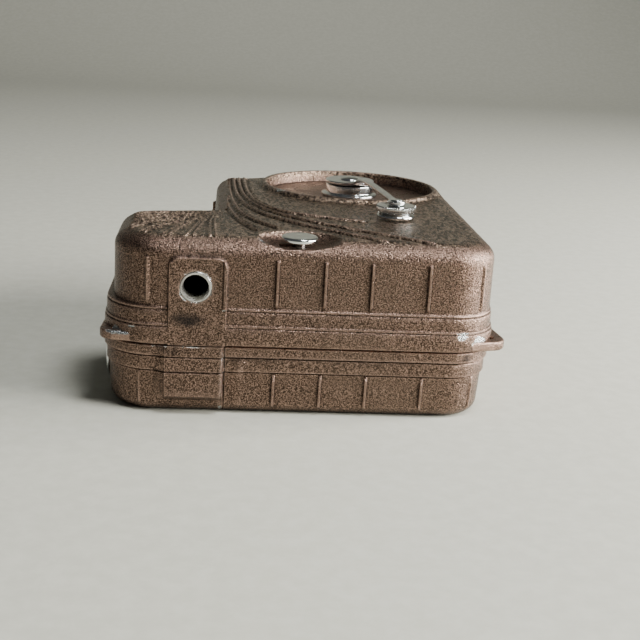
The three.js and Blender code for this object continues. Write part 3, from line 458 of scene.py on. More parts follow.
def near_curves(x, y, curves, reach):
    """Each point's distance to the nearest curve, worked out only near one."""
    best = np.full(len(x), reach)
    for curve in curves:
        low, high = curve.min(0) - reach, curve.max(0) + reach
        pick = np.flatnonzero((x > low[0]) & (x < high[0]) & (y > low[1]) & (y < high[1]))
        if not len(pick):
            continue
        p = np.stack([x[pick], y[pick]], 1)
        a, b = curve[:-1], curve[1:]
        for start, step in zip(a, b - a):
            t = np.clip(((p - start) @ step) / (step @ step), 0, 1)
            d = np.linalg.norm(p - start - t[:, None] * step, axis=1)
            best[pick] = np.minimum(best[pick], d)
    return best


FAR = 99.0  # more than any point's distance from the wall


def inset_of(points, edge):
    """Each point's distance from a closed outline."""
    best = np.full(len(points), FAR)
    for start, end in zip(edge, np.roll(edge, -1, axis=0)):
        step = end - start
        t = np.clip(((points - start) @ step) / (step @ step), 0, 1)
        best = np.minimum(best, np.linalg.norm(points - start - t[:, None] * step, axis=1))
    return best


def inside_loop(points, loop):
    """Which points lie inside a closed outline."""
    inside = np.zeros(len(points), bool)
    for (x0, y0), (x1, y1) in zip(loop, np.roll(loop, -1, axis=0)):
        crosses = (y0 > points[:, 1]) != (y1 > points[:, 1])
        with np.errstate(divide="ignore", invalid="ignore"):
            at = (x1 - x0) * (points[:, 1] - y0) / (y1 - y0) + x0
        inside ^= crosses & (points[:, 0] < at)
    return inside


TOP_STEP = 0.45  # the fine lattice's pitch
ROW_SHARE = 0.866  # its rows lie this share of the pitch apart, for even triangles
LATTICE_INSET = 3.5  # how far inside the wall it starts
LATTICE_BACK = 99  # it is laid out to this y, then trimmed to the wall
RIDGE_CLEAR = 0.95  # how far it keeps from a cast line
EDGE_INSETS = (1.5, 1.9, 2.4, 2.9, 3.3)  # rings between the wall and the lattice
RIM_CIRCLES = (22.3, 22.6, 22.82, 22.85, 22.95, 23.15, 23.5, 23.9, 24.3, 24.6, 24.95)


def ridge_points(curve):
    """Points along a ridge, on its crest and down both sides."""
    steps = np.linalg.norm(np.diff(curve, axis=0), axis=1)
    along = np.concatenate([[0], np.cumsum(steps)])
    at = np.arange(0, along[-1], 0.55)
    crest = np.stack([np.interp(at, along, curve[:, k]) for k in (0, 1)], 1)
    way = np.gradient(crest, axis=0)
    side = np.stack([-way[:, 1], way[:, 0]], 1) / np.linalg.norm(way, axis=1)[:, None]
    return np.concatenate([crest + side * off for off in (-0.75, -0.5, -0.25, 0, 0.25, 0.5, 0.75)])


def top_points():
    """The top's points in plan: its edge first, then rings, circles and a fine lattice."""
    edge = ring(-EDGE_RING, LEAN_WALL)
    wall = ring(0.0, LEAN_WALL)
    rings = [ring(-d, LEAN_WALL)[::2] for d in EDGE_INSETS]
    circles = [circle(*DISH, r, 200) for r in RIM_CIRCLES]
    xs = np.arange(LEFT, RIGHT, TOP_STEP)
    ys = np.arange(0, LATTICE_BACK, TOP_STEP * ROW_SHARE)
    lattice = np.array([(x + (TOP_STEP / 2 if row % 2 else 0), y) for row, y in enumerate(ys) for x in xs])
    field = ring(-LATTICE_INSET, LEAN_WALL)
    lattice = lattice[inside_loop(lattice, field)]
    r = np.linalg.norm(lattice - DISH, axis=1)
    lattice = lattice[r > RIM_R]
    lines = sweep_curves() + fan_curves()
    lattice = lattice[near_curves(lattice[:, 0], lattice[:, 1], lines, 2.0) > RIDGE_CLEAR]
    ridges = np.concatenate([ridge_points(curve) for curve in lines])
    fits = inside_loop(ridges, field) & (np.linalg.norm(ridges - DISH, axis=1) > RIM_R)
    lattice = np.concatenate([lattice, ridges[fits]])
    floor = [circle(*DISH, k, max(8, int(k * 4))) for k in np.arange(1.5, 22, 1.6)]
    extra = np.concatenate(rings)
    r_extra = np.linalg.norm(extra - DISH, axis=1)
    extra = extra[r_extra > RIM_R - 0.05]
    round_ones = np.concatenate(circles + floor)
    keep = inside_loop(round_ones, ring(-EDGE_RING - 0.12, LEAN_WALL))
    return edge, wall, np.concatenate([round_ones[keep], extra, lattice])


def decor_height(x, y):
    """How far the cast lines rise over the top, with a shallow groove beside each."""
    rise = np.zeros(len(x))
    for curves, height, groove in ((sweep_curves(), 0.42, 0.3), (fan_curves(), 0.3, 0.1)):
        away = near_curves(x, y, curves, 2.0)
        rise += height * np.exp(-((away / 0.36) ** 2)) - groove * np.exp(-(((away - 0.85) / 0.32) ** 2))
    return rise


def top_surface(points, wall):
    """Heights of the top at points in plan."""
    x, y = points[:, 0], points[:, 1]
    inset = inset_of(points, wall)
    r = np.hypot(x - DISH[0], y - DISH[1])
    z = fillet_height(inset) + decor_height(x, y) * smooth((inset - 1.6) / 2.4)
    z = np.maximum(z, rim_height(x, y) * (r >= DISH_R))
    dish = np.interp(r, [0, 22.3, 22.6, 22.82], [DISH_FLOOR, DISH_FLOOR, 38.42, 38.9])
    z = np.where(r < DISH_R, dish, z)
    return pocket_depth(x, y, z)


def pad_rise(x, z):
    """The tripod pad's rise over the front plane, with a raised bevel along its right side."""
    pad = PAD_PROUD * rounded_box(x, z, PAD_LEFT, PAD_RIGHT, SEAM - 6, PAD_TOP, 2.4, 0.35)
    bevel = window(x, PAD_RIGHT - 1.15, PAD_RIGHT, 0.3) * window(z, 24.6, PAD_TOP - 0.3, 0.4)
    return pad + 0.6 * bevel * (pad > 0.5)


def upper_casting():
    front = (LEANT_PATH[:, 1] < 1e-6) & (FLAT_NORMALS[:, 1] < -0.999)
    ribs = rib_profile(0.8)
    levels = [(z, off, LEAN_FLANGE if z < 24.9 else LEAN_WALL) for z, off in UPPER_PROFILE]
    levels += [(z, 0.0, LEAN_WALL) for z in np.arange(25.4, 33.4, 0.8)]
    levels += [(z, 0.0, LEAN_WALL) for z in np.arange(33.6, 36.2, 0.2)]
    for inset in (0.0, 0.03, 0.09, 0.18, 0.3, 0.46, 0.66, 0.9, EDGE_RING):
        levels.append((float(fillet_height(inset)), -inset, LEAN_WALL))
    rings = []
    inner_levels = [(36.4, -WALL), (17.2, -WALL), (16.46, -WALL)]
    for z, offset in inner_levels:
        rings.append(np.column_stack([ring(offset, LEAN_WALL), np.full(COLUMNS, z)]))
    for z, offset, lean in levels:
        base = offset + ribs * window(z, 25.3, 36.1) * (~front | (LEANT_PATH[:, 0] > PAD_RIGHT + 0.5))
        pad = np.where(front, pad_rise(LEANT_PATH[:, 0], z), 0)
        plan = ring(np.where(pad > 0.01, np.maximum(base, pad), base), lean)
        heights = pocket_depth(plan[:, 0], plan[:, 1], np.full(COLUMNS, z))
        if z > 38.5:
            by_rim = np.hypot(*(plan - DISH).T) < RIM_R
            heights = np.maximum(heights, np.where(by_rim, rim_height(plan[:, 0], plan[:, 1]), 0))
        rings.append(np.column_stack([plan, heights]))
    verts = np.concatenate(rings)
    faces = ring_faces(COLUMNS, len(rings))
    # The top: a fine triangle mesh whose edge points are the wall's last ring.
    edge, wall, inner = top_points()
    plan = np.concatenate([edge, inner])
    loop = [(i, (i + 1) % COLUMNS) for i in range(COLUMNS)]
    out, _, tris, origins, *_ = delaunay_2d_cdt([Vector(p) for p in plan], loop, [], 1, 1e-5)
    out = np.array([(v.x, v.y) for v in out])
    heights = top_surface(out, wall)
    for new, olds in enumerate(origins):
        for old in olds:
            if old < COLUMNS:
                heights[new] = rings[-1][old, 2]
                out[new] = rings[-1][old, :2]
    base = len(verts)
    verts = np.concatenate([verts, np.column_stack([out, heights])])
    faces += [tuple(base + i for i in tri) for tri in tris]
    # The ceiling inside closes the hollow.
    faces += cap(ring(-WALL, LEAN_WALL), 0)
    return make("upper_casting", verts, faces, 40)


# ---- Procedural materials ----
class Shader:
    """Builds a material's nodes round its Principled shader."""

    def __init__(self, name, **values):
        self.material = bpy.data.materials.new(name)
        self.material.use_nodes = True
        self.tree = self.material.node_tree
        self.surface = self.tree.nodes["Principled BSDF"]
        for key, value in values.items():
            self.surface.inputs[key.replace("_", " ")].default_value = value
        self.space = self.tree.nodes.new("ShaderNodeTexCoord").outputs["Object"]

    def link(self, out, into):
        self.tree.links.new(out, into)

    def noise(self, scale, detail=4.0, roughness=0.55, distortion=0.0, stretch=None):
        node = self.tree.nodes.new("ShaderNodeTexNoise")
        node.inputs["Scale"].default_value = scale
        node.inputs["Detail"].default_value = detail
        node.inputs["Roughness"].default_value = roughness
        node.inputs["Distortion"].default_value = distortion
        self.link(self.mapped(stretch), node.inputs["Vector"])
        return node.outputs["Fac"]

    def cells(self, scale, smoothness=0.3):
        node = self.tree.nodes.new("ShaderNodeTexVoronoi")
        node.feature = "SMOOTH_F1"
        node.inputs["Scale"].default_value = scale
        node.inputs["Smoothness"].default_value = smoothness
        self.link(self.space, node.inputs["Vector"])
        return node.outputs["Distance"]

    def edges(self):
        """About a half on a flat face, more on an outer edge and less in a groove."""
        return self.tree.nodes.new("ShaderNodeNewGeometry").outputs["Pointiness"]

    def mapped(self, stretch):
        if stretch is None:
            return self.space
        node = self.tree.nodes.new("ShaderNodeMapping")
        node.inputs["Scale"].default_value = stretch
        self.link(self.space, node.inputs["Vector"])
        return node.outputs["Vector"]

    def attribute(self, name):
        node = self.tree.nodes.new("ShaderNodeAttribute")
        node.attribute_name = name
        return node.outputs["Fac"]

    def math(self, kind, a, b):
        node = self.tree.nodes.new("ShaderNodeMath")
        node.operation = kind
        for value, socket in ((a, node.inputs[0]), (b, node.inputs[1])):
            if isinstance(value, (int, float)):
                socket.default_value = value
            else:
                self.link(value, socket)
        return node.outputs[0]

    def ramp(self, value, low, high, out_low=0.0, out_high=1.0):
        node = self.tree.nodes.new("ShaderNodeMapRange")
        node.interpolation_type = "SMOOTHSTEP"
        for key, number in zip(("From Min", "From Max", "To Min", "To Max"), (low, high, out_low, out_high)):
            node.inputs[key].default_value = number
        self.link(value, node.inputs["Value"])
        return node.outputs["Result"]

    def blend(self, fac, a, b):
        node = self.tree.nodes.new("ShaderNodeMix")
        node.data_type = "RGBA"
        self.link(fac, node.inputs["Factor"])
        for value, socket in ((a, node.inputs[6]), (b, node.inputs[7])):
            if isinstance(value, tuple):
                socket.default_value = (*value, 1)
            else:
                self.link(value, socket)
        return node.outputs[2]

    def bump(self, height, strength, distance):
        node = self.tree.nodes.new("ShaderNodeBump")
        node.inputs["Strength"].default_value = strength
        node.inputs["Distance"].default_value = distance
        self.link(height, node.inputs["Height"])
        self.link(node.outputs["Normal"], self.surface.inputs["Normal"])

    def set(self, socket, value):
        self.link(value, self.surface.inputs[socket])


def enamel_material():
    """Bronze-brown wrinkle enamel: a fine sparkling grain, worn to bare grey metal on its edges, with painted
    highlights on its crests and painted shade in its grooves, under the knob and along the bottom.
    """
    s = Shader("bronze_wrinkle_enamel", IOR=1.5)
    wrinkle = s.noise(2700, 3.0, 0.6, 0.7)
    grain = s.cells(3200, 0.3)
    fine = s.math("ADD", s.math("MULTIPLY", wrinkle, 0.8), s.math("MULTIPLY", grain, -0.6))
    ripple = s.math("MULTIPLY", s.noise(1000, 3.0, 0.6, 0.6), s.math("MULTIPLY", s.attribute("ripple"), 2.6))
    height = s.math("ADD", fine, ripple)
    speckle = s.ramp(s.noise(3500, 3.0, 0.62), 0.4, 0.66)
    cloud = s.ramp(s.noise(55, 4.0, 0.6), 0.35, 0.7)
    brown = s.blend(speckle, (0.03, 0.018, 0.012), (0.38, 0.25, 0.19))
    brown = s.blend(s.math("MULTIPLY", cloud, 0.25), brown, (0.11, 0.082, 0.062))
    coarse = s.ramp(s.noise(1700, 3.0, 0.7, 0.4, (1.0, 0.4, 1.0)), 0.42, 0.6)
    brown = s.blend(s.attribute("ripple"), brown, s.blend(coarse, (0.022, 0.016, 0.011), (0.34, 0.25, 0.18)))
    # Painted highlight: outer edges and crests are lightened towards copper.
    brown = s.blend(s.ramp(s.edges(), 0.51, 0.56, 0.0, 0.55), brown, (0.52, 0.35, 0.275))
    # Painted shade: grooves and creases are darkened.
    brown = s.blend(s.ramp(s.edges(), 0.43, 0.495, 0.8, 0.0), brown, (0.014, 0.01, 0.009))
    # Painted shadows under the knob, under the lower casting's steps and along the bottom, and darker spots
    # on the pad and by the seam.
    brown = s.blend(s.attribute("dark_spots_and_shadow"), brown, (0.018, 0.016, 0.016))
    # Worn paint and painted highlights along the cast bands and the pad's bevel: the brown is lightened where
    # the value is moderate and bared to grey metal where it is strong.
    chips_and_highlight = s.math("ADD", s.attribute("wear_and_highlight"), s.math("MULTIPLY", s.noise(420, 5.0, 0.65), 0.9))
    bare = s.ramp(chips_and_highlight, 0.92, 1.02)
    rub_and_highlight = s.ramp(chips_and_highlight, 0.62, 1.05, 0.0, 0.35)
    tone = s.blend(rub_and_highlight, brown, (0.32, 0.24, 0.20))
    s.set("Base Color", s.blend(bare, tone, (0.50, 0.52, 0.52)))
    s.set("Metallic", s.ramp(bare, 0.0, 1.0, 0.88, 1.0))
    rough = s.ramp(s.noise(900, 3.0), 0.3, 0.7, 0.26, 0.36)
    s.set("Roughness", s.math("SUBTRACT", rough, s.math("MULTIPLY", bare, 0.08)))
    s.bump(s.math("SUBTRACT", height, s.math("MULTIPLY", bare, 0.5)), 0.8, 0.0002)
    return s.material


def metal_material(name, bright, dull, rough, scratch=0.35, brush=None):
    """Bare or plated metal with fine brushing, faint tarnish and small scratches."""
    s = Shader(name, Metallic=1.0)
    tarnish = s.ramp(s.noise(160, 5.0, 0.62), 0.42, 0.72)
    s.set("Base Color", s.blend(tarnish, bright, dull))
    lines = s.noise(1500, 3.0, 0.6, 0.0, brush or (1.0, 1.0, 6.0))
    uneven = s.math("ADD", lines, s.math("MULTIPLY", tarnish, 0.4))
    s.set("Roughness", s.ramp(uneven, 0.3, 1.1, rough * 0.7, rough * 1.7))
    s.bump(lines, scratch, 0.00002)
    return s.material


def glass_material():
    s = Shader("coated_glass", IOR=1.52, Transmission_Weight=1.0)
    s.set("Base Color", s.blend(s.ramp(s.noise(60, 2.0), 0.3, 0.8), (0.93, 0.95, 0.97), (0.86, 0.88, 0.93)))
    s.set("Roughness", s.ramp(s.noise(700, 4.0), 0.4, 0.8, 0.01, 0.05))
    return s.material


def paint_material():
    """Matt black lacquer with fine dust."""
    s = Shader("blackened_metal", Metallic=0.3)
    dust = s.ramp(s.noise(240, 5.0, 0.65), 0.5, 0.8)
    s.set("Base Color", s.blend(dust, (0.012, 0.012, 0.013), (0.035, 0.033, 0.031)))
    s.set("Roughness", s.ramp(s.noise(1200, 3.0), 0.3, 0.7, 0.4, 0.6))
    s.bump(s.noise(3000, 3.0), 0.25, 0.00003)
    return s.material


ENAMEL = enamel_material()
CHROME = metal_material("worn_chrome", (0.78, 0.80, 0.80), (0.55, 0.57, 0.57), 0.13, 0.12)
STEEL = metal_material("bare_steel", (0.62, 0.61, 0.58), (0.36, 0.34, 0.31), 0.3)
BRASS = metal_material("clock_brass", (0.72, 0.53, 0.24), (0.46, 0.31, 0.13), 0.26)
BLACK = paint_material()
GLASS = glass_material()
SLOTS = {
    "enamel": ENAMEL, "chrome": CHROME, "steel": STEEL, "brass": BRASS, "blackened": BLACK, "glass": GLASS,
}


def finish(obj, slot, body, *nodes):
    """Gives a piece its material, its body, and the CAD nodes that it stands for."""
    obj.data.materials.clear()
    obj.data.materials.append(SLOTS[slot])
    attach(obj, body)
    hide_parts(*nodes)


# ---- Wear, dark spots, painted highlights and painted shadows, kept as values on the casting's points ----
def near(p, centre, reach):
    """One at a centre, falling to nothing at a reach along each axis."""
    return np.clip(1 - np.linalg.norm((p - np.array(centre)) / np.array(reach), axis=1), 0, 1)


def wear_and_highlight_at(p):
    x, y, z = p.T
    front = y < 2.5
    wear_and_highlight = np.zeros(len(p))
    spots = [
        ((57.5, 1.0, 18.5), (4.5, 5.0, 2.2), 1.3), ((53.0, -1.0, 20.3), (2.4, 2.0, 1.6), 1.1),
        ((-24.6, 2.2, 18.6), (3.4, 4.4, 1.6), 1.0), ((-20.5, 0.5, 19.9), (3, 2, 0.8), 0.7),
        ((7.2, 3.2, 39.6), (2.4, 3.2, 1.6), 0.9), ((13.5, 60.3, 41.3), (7.0, 6.0, 1.5), 0.75),
        ((20.0, 54.0, 41.3), (6.0, 4.0, 1.5), 0.6), ((-3.4, 9.0, 40.0), (3, 6, 2), 0.3),
        ((56.0, 1.0, 37.8), (6, 3, 3), 0.45), ((48.0, 0.4, 39.5), (8, 1.2, 1.6), 0.35),
        ((-26.6, 12.0, 38.4), (2, 16, 2.5), 0.4), ((-22.0, 2.0, 38.0), (4, 3, 2), 0.4),
    ]
    for centre, reach, much in spots:
        wear_and_highlight += much * near(p, centre, reach)
    # Painted highlights: lighter bands along the edges and crests of the cast bands, and along the pad's
    # right bevel and top edge.
    wear_and_highlight += 0.33 * window(z, 20.65, 21.2, 0.15) * front
    wear_and_highlight += 0.3 * window(z, 24.4, 24.85, 0.12)
    wear_and_highlight += 0.3 * window(z, 20.05, 20.4, 0.15)
    wear_and_highlight += 0.34 * window(x, PAD_RIGHT - 1.3, PAD_RIGHT + 0.2, 0.3) * window(z, 24.2, 36.6, 0.4) * (y < -0.4)
    wear_and_highlight += 0.3 * window(x, PAD_LEFT - 0.3, PAD_RIGHT + 0.3, 0.6) * window(z, 35.6, 36.8, 0.3) * (y < 0.2)
    r = np.hypot(x - BUSH[0], z - BUSH[1])
    wear_and_highlight += 0.7 * np.clip(1 - np.abs(r - 3.7) / 0.5, 0, 1) * (y < 0.5)  # round the tripod bush
    wear_and_highlight += 0.42 * window(x, -1.5, -0.1, 0.25) * (z < 15.8) * front
    wear_and_highlight += 0.45 * window(z, 15.7, 16.3, 0.2) * (x < 0)
    return np.clip(wear_and_highlight, 0, 1.4)


def dark_spots_and_shadow_at(p):
    z = p[:, 2]
    # Painted shadows: the spot at the crank knob is the knob's shadow, and the long thin spots at z 13.6 and
    # 10.2 are the shadows under the lower casting's steps. The other spots darken the pad and the front just
    # below the seam.
    spots = [
        ((-8.2, -0.9, 22.2), (4.2, 2.0, 1.9), 1.5), ((-10.5, -0.9, 23.0), (2.2, 2.0, 1.0), 1.2),
        ((54.2, 0.5, 14.9), (1.6, 3.0, 1.1), 1.6), ((-12.0, -0.9, 15.0), (7.0, 2.0, 1.4), 0.5),
        ((40.1, 30.2, 40.5), (5.5, 5.5, 2.5), 0.35), ((8.0, 0.0, 13.6), (18, 2, 0.7), 0.6),
        ((35.0, 0.0, 13.6), (24, 2, 0.6), 0.5), ((35.0, 0.0, 10.2), (26, 2, 0.5), 0.4),
    ]
    dark_spots_and_shadow = np.zeros(len(p))
    for centre, reach, much in spots:
        dark_spots_and_shadow += much * near(p, centre, reach)
    # Painted contact shadow: darker along the bottom edge, where the case meets the table.
    dark_spots_and_shadow += 0.45 * window(z, 0.0, 0.9, 0.3)
    return np.clip(dark_spots_and_shadow, 0, 0.85)


def store_wear_and_painted_light(obj):
    """Stores the wear and painted highlight, and the dark spots and painted shadow, of each point of a
    casting.
    """
    mesh = obj.data
    flat = np.empty(len(mesh.vertices) * 3)
    mesh.vertices.foreach_get("co", flat)
    points = flat.reshape(-1, 3) / MM - ZERO
    ripple = smooth((points[:, 2] - 39.5) / 0.8)
    for name, values in (("wear_and_highlight", wear_and_highlight_at(points)), ("dark_spots_and_shadow", dark_spots_and_shadow_at(points)), ("ripple", ripple)):
        layer = mesh.attributes.new(name, "FLOAT", "POINT")
        layer.data.foreach_set("value", values.astype(np.float32))


# ---- Cuts shared by the castings ----
def stepped(axis, centre, *steps):
    """A solid of round steps on one axis, for cutting: each step is (radius, from, to)."""
    profile = [(0.001, steps[0][1])]
    for radius, low, high in steps:
        profile += [(radius, low), (radius, high)]
    return lathe("stepped", centre, profile + [(0.001, steps[-1][2])], axis, 72)


def lens_cut():
    return stepped("X", LENS, (9.2, -31, -26.3), (8.4, -26.3, -14))


def hull(points):
    """The convex outline round points in plan, counter-clockwise."""
    points = sorted(map(tuple, points))
    loops = []
    for run in (points, points[::-1]):
        line = []
        for p in run:
            while len(line) > 1:
                (ax, ay), (bx, by) = line[-2], line[-1]
                if (bx - ax) * (p[1] - ay) - (by - ay) * (p[0] - ax) > 0:
                    break
                line.pop()
            line.append(p)
        loops += line[:-1]
    return np.array(loops)


def strap_lug(eye, roots, inner):
    """A strap lug: a flat tongue with a round eye."""
    outside = hull(list(circle(*eye, 3.7, 64)) + roots + inner)
    return slab("lug", [outside, circle(*eye, 1.15, 40)[::-1]], 16.42, 18.55, 0.45)


# ---- Lower castings: the lens cover and the film door ----
LOWER_PROFILE = [
    (0.0, -4.2), (0.06, -3.75), (0.2, -3.3), (0.42, -2.85), (0.75, -2.4), (1.15, -1.98), (1.7, -1.58),
    (2.3, -1.32), (3.0, -1.22), (4.5, -1.12), (6.2, -1.0), (8.0, -0.9), (9.6, -0.8), (9.85, -0.78),
    (9.95, -0.98), (10.1, -1.0), (10.22, -0.6), (10.34, -0.22), (10.6, -0.2), (12.0, -0.2), (13.1, -0.2),
    (13.36, -0.24), (13.46, -0.5), (13.6, -0.5), (13.72, 0.1), (13.84, 0.3), (14.4, 0.32), (15.6, 0.32),
    (15.96, 0.3), (16.08, 0.2), (16.14, 0.05),
]
LOWER_RIM = 2.6
COVER_CORNER, DOOR_CORNER = (-0.2, 36.96), (0.04, 37.04)  # x and y of the seam, each side of its gap


def lower_casting():
    front = FLAT_NORMALS[:, 1] < -0.999
    x = FLAT_PATH[:, 0]
    ribs = rib_profile(0.65)
    swell = 0.35 * np.exp(-(((x - 3.2) / 1.1) ** 2)) * front
    rings = []
    for z, offset in LOWER_PROFILE:
        here = offset + ribs * window(z, 1.9, 9.75) * (~front | (x > 0.8)) + swell * window(z, 1.6, 13.3, 0.8)
        pad = np.where(front, PAD_PROUD * rounded_box(x, z, *LOWER_PAD, 3.6, 30, 1.6, 0.35), -9)
        pad = pad - 0.3 * window(z, 9.85, 10.3, 0.15) - 0.3 * window(z, 13.35, 13.75, 0.15)
        square = front & (x > LOWER_PAD[0]) & (x < LOWER_PAD[1]) & (z > 3.7)
        rings.append(np.column_stack([ring(np.where(square, np.maximum(here, pad), here), 0.0),
                                      np.full(COLUMNS, z)]))
    for z, offset in ((16.14, -LOWER_RIM), (4.2, -LOWER_RIM), (1.9, -3.8)):
        rings.append(np.column_stack([ring(offset, 0.0), np.full(COLUMNS, z)]))
    faces = ring_faces(COLUMNS, len(rings))
    last = (len(rings) - 1) * COLUMNS
    faces += [tuple(range(COLUMNS)), tuple(range(last, last + COLUMNS))]
    return make("lower_casting", np.concatenate(rings), faces, 40)


def lower_pieces():
    whole = lower_casting()
    cover = whole.copy()
    cover.data = whole.data.copy()
    bpy.context.scene.collection.objects.link(cover)
    cover.name = "lens_cover"
    whole.name = "film_door_casting"
    boolean(cover, brick(-40, COVER_CORNER[0], -8, COVER_CORNER[1], -2, 20), "INTERSECT")
    boolean(cover, lens_cut())
    boolean(whole, brick(-40, DOOR_CORNER[0], -8, DOOR_CORNER[1], -2, 20))
    boolean(whole, stepped("Z", LATCH, (6.9, -1, 0.95), (2.4, 0.95, 5)))
    for obj in (cover, whole):
        store_wear_and_painted_light(obj)
    finish(cover, "enamel", "case", "front_cover")
    finish(whole, "enamel", "door", "film_door")


def main_casting():
    shell = upper_casting()
    cuts = [
        lens_cut(), stepped("Y", BUSH, (3.55, -3, 3.6)), brick(11.1, 17.1, 3.7, 6.7, 36.0, 40),
        stepped("Z", DISH, (4.2, 34, 39.5)),
    ]
    boolean(shell, merged("cuts", cuts))
    right = strap_lug((59.8, 5.4), [(50.2, -0.78), (61.1, 24.0)], [(52.0, 2.0), (58.7, 24.0)])
    left = strap_lug((-24.2, 5.1), [(-27.2, 19.0), (-14.2, -0.78)], [(-24.6, 19.0), (-14.2, 1.2)])
    # The lug ends just inside the shell's own cut, so that no two faces share a plane.
    boolean(left, stepped("X", LENS, (9.25, -31, -26.25), (8.45, -26.25, -14)))
    shell = merged("main_casting", [shell, right, left])
    store_wear_and_painted_light(shell)
    finish(shell, "enamel", "case", "main_housing")


# ---- Turned and pressed pieces ----
def rounded(profile, radius=0.15):
    """A turned profile with its corners rounded."""
    p = np.array(profile, float)
    out = [p[0]]
    for i in range(1, len(p) - 1):
        before, after = p[i - 1] - p[i], p[i + 1] - p[i]
        reach = min(radius, 0.45 * np.linalg.norm(before), 0.45 * np.linalg.norm(after))
        a = p[i] + before / np.linalg.norm(before) * reach
        b = p[i] + after / np.linalg.norm(after) * reach
        out += [(1 - t) ** 2 * a + 2 * t * (1 - t) * p[i] + t * t * b for t in (0, 0.33, 0.67, 1)]
    out.append(p[-1])
    return [tuple(q) for q in out]


def crank():
    hub = lathe("hub_turning", DISH, rounded([
        (2.62, 38.42), (7.7, 38.42), (7.7, 39.0), (7.3, 39.2), (6.5, 39.4), (6.5, 41.5), (2.62, 41.5),
    ]))
    finish(hub, "chrome", "crank", "crank_hub")
    finish(crank_arm(), "chrome", "crank", "crank_arm")
    dome = [(2.7 * math.sin(t), 42.7 + 0.9 * math.cos(t)) for t in np.linspace(math.pi / 2, 0.006, 14)]
    rivet = lathe("hub_rivet", DISH, [(0.02, 42.6), (2.7, 42.6)] + dome)
    finish(rivet, "chrome", "crank", "crank_rivet")
    knob = merged("knob", [
        lathe("grip", KNOB, rounded([
            (1.08, 42.75), (3.3, 42.75), (3.3, 42.3), (4.6, 42.3), (4.85, 42.45), (4.85, 43.62), (4.55, 43.8),
            (1.08, 43.8),
        ], 0.08), sides=480, knurl=(42.4, 43.7, 64, 0.3)),
        lathe("foot", KNOB, rounded([
            (1.08, 40.75), (4.2, 40.75), (4.6, 41.0), (4.55, 41.5), (3.7, 42.0), (3.2, 42.4), (3.2, 42.7),
            (1.08, 42.7),
        ], 0.3)),
    ])
    finish(knob, "chrome", "knob", "crank_knob")
    pin = lathe("knob_pin", KNOB, rounded([
        (0.02, 40.62), (1.9, 40.62), (1.9, 40.7), (1.0, 40.7), (1.0, 44.85), (1.5, 44.9), (1.35, 45.15),
        (0.02, 45.25),
    ], 0.1), sides=48)
    finish(pin, "chrome", "crank", "crank_knob_pin")


ARM_TOP = np.array([(-7, 42.7), (5.6, 42.7), (7.2, 43.05), (9.4, 44.2), (12.5, 45.0), (16, 45.3), (22, 45.4),
                    (32, 45.15), (38, 44.9), (43, 44.85), (46, 44.85)])
ARM_THICK = 0.85
ARM_HEAD, ARM_EYE = 6.7, 2.15  # radii in plan
ARM_REACH = 43.39  # from the crank's axis to the eye's centre
ARM_EDGE = 0.28  # its rounded edges' radius


def arm_half_width(s):
    """The arm's half width in plan: a round head, a narrow bar and a small eye."""
    head = np.sqrt(np.clip(ARM_HEAD**2 - s**2, 0, None))
    eye = np.sqrt(np.clip(ARM_EYE**2 - (s - ARM_REACH) ** 2, 0, None))
    bar = np.where((s > 3) & (s < 43.4), 0.95 + 1.4 * np.exp(-np.abs(s - 6.5) / 0.8), 0)
    return np.maximum(np.maximum(head, eye), bar)


def crank_arm():
    way = (KNOB - DISH) / np.linalg.norm(KNOB - DISH)
    side = np.array([-way[1], way[0]])
    head = ARM_HEAD * np.cos(np.linspace(math.pi - 0.02, math.pi * 0.08, 48))
    eye = ARM_REACH + ARM_EYE * np.cos(np.linspace(math.pi * 0.85, 0.02, 24))
    s = np.concatenate([head, np.arange(6.75, 41.2, 0.35), eye])
    s = np.unique(np.round(s, 4))
    tops = np.interp(s, ARM_TOP[:, 0], ARM_TOP[:, 1])
    kernel = np.hanning(9) / np.hanning(9).sum()
    tops = np.where((s > 4) & (s < 41), np.convolve(np.pad(tops, 4, "edge"), kernel, "valid"), tops)
    widths = np.maximum(arm_half_width(s), 0.02)
    section = []
    for cx, cz, start in ((1, -1, 0), (-1, -1, 90), (-1, 1, 180), (1, 1, 270)):
        section += [(cx, cz, math.radians(start + k * 22.5)) for k in range(5)]
    rings = []
    for s_at, top, half in zip(s, tops, widths):
        e = min(ARM_EDGE, half * 0.8)
        points = []
        for cx, cz, turn in section:
            u = cx * (half - e) + e * math.cos(turn)
            v = top - ARM_THICK / 2 - cz * (ARM_THICK / 2 - e) + e * math.sin(turn)
            points.append((*(DISH + way * s_at + side * u), v))
        rings.append(points)
    count = len(section)
    faces = ring_faces(count, len(rings))
    last = (len(rings) - 1) * count
    faces += [tuple(range(count)), tuple(range(last, last + count))]
    return make("crank_blade", np.concatenate(rings), faces, 45)


def start_button():
    button = lathe("button", BUTTON, rounded([
        (0.02, 35.2), (1.5, 35.2), (1.5, 39.4), (3.8, 39.4), (4.1, 39.6), (4.1, 40.3), (3.75, 40.62),
        (1.5, 40.55), (0.02, 40.5),
    ], 0.25))
    finish(button, "chrome", "release", "start_button")


def tripod_bush():
    """The threaded socket: a plain ring outside, a helical quarter-inch thread inside."""
    sides, pitch = 72, 1.27
    turns = np.arange(sides) * 2 * math.pi / sides
    shape = rounded([(3.1, 3.55), (3.5, 3.5), (3.5, -0.75), (3.35, -0.95), (3.05, -0.95)], 0.12)
    for y in np.arange(-0.85, 3.5, 0.12):
        phase = (y / pitch + turns / (2 * math.pi)) % 1
        shape.append((2.72 + 0.38 * np.abs(2 * phase - 1), y))
    rings = []
    for radius, y in shape:
        x, z = BUSH[0] + radius * np.cos(turns), BUSH[1] + radius * np.sin(turns)
        rings.append(np.stack([x, np.full(sides, y), z], 1))
    verts = np.concatenate(rings)
    faces = ring_faces(sides, len(rings))
    last = (len(rings) - 1) * sides
    faces += [(last + i, last + (i + 1) % sides, (i + 1) % sides, i) for i in range(sides)]
    finish(make("tripod_socket", verts, faces, 30), "steel", "case", "tripod_bush")


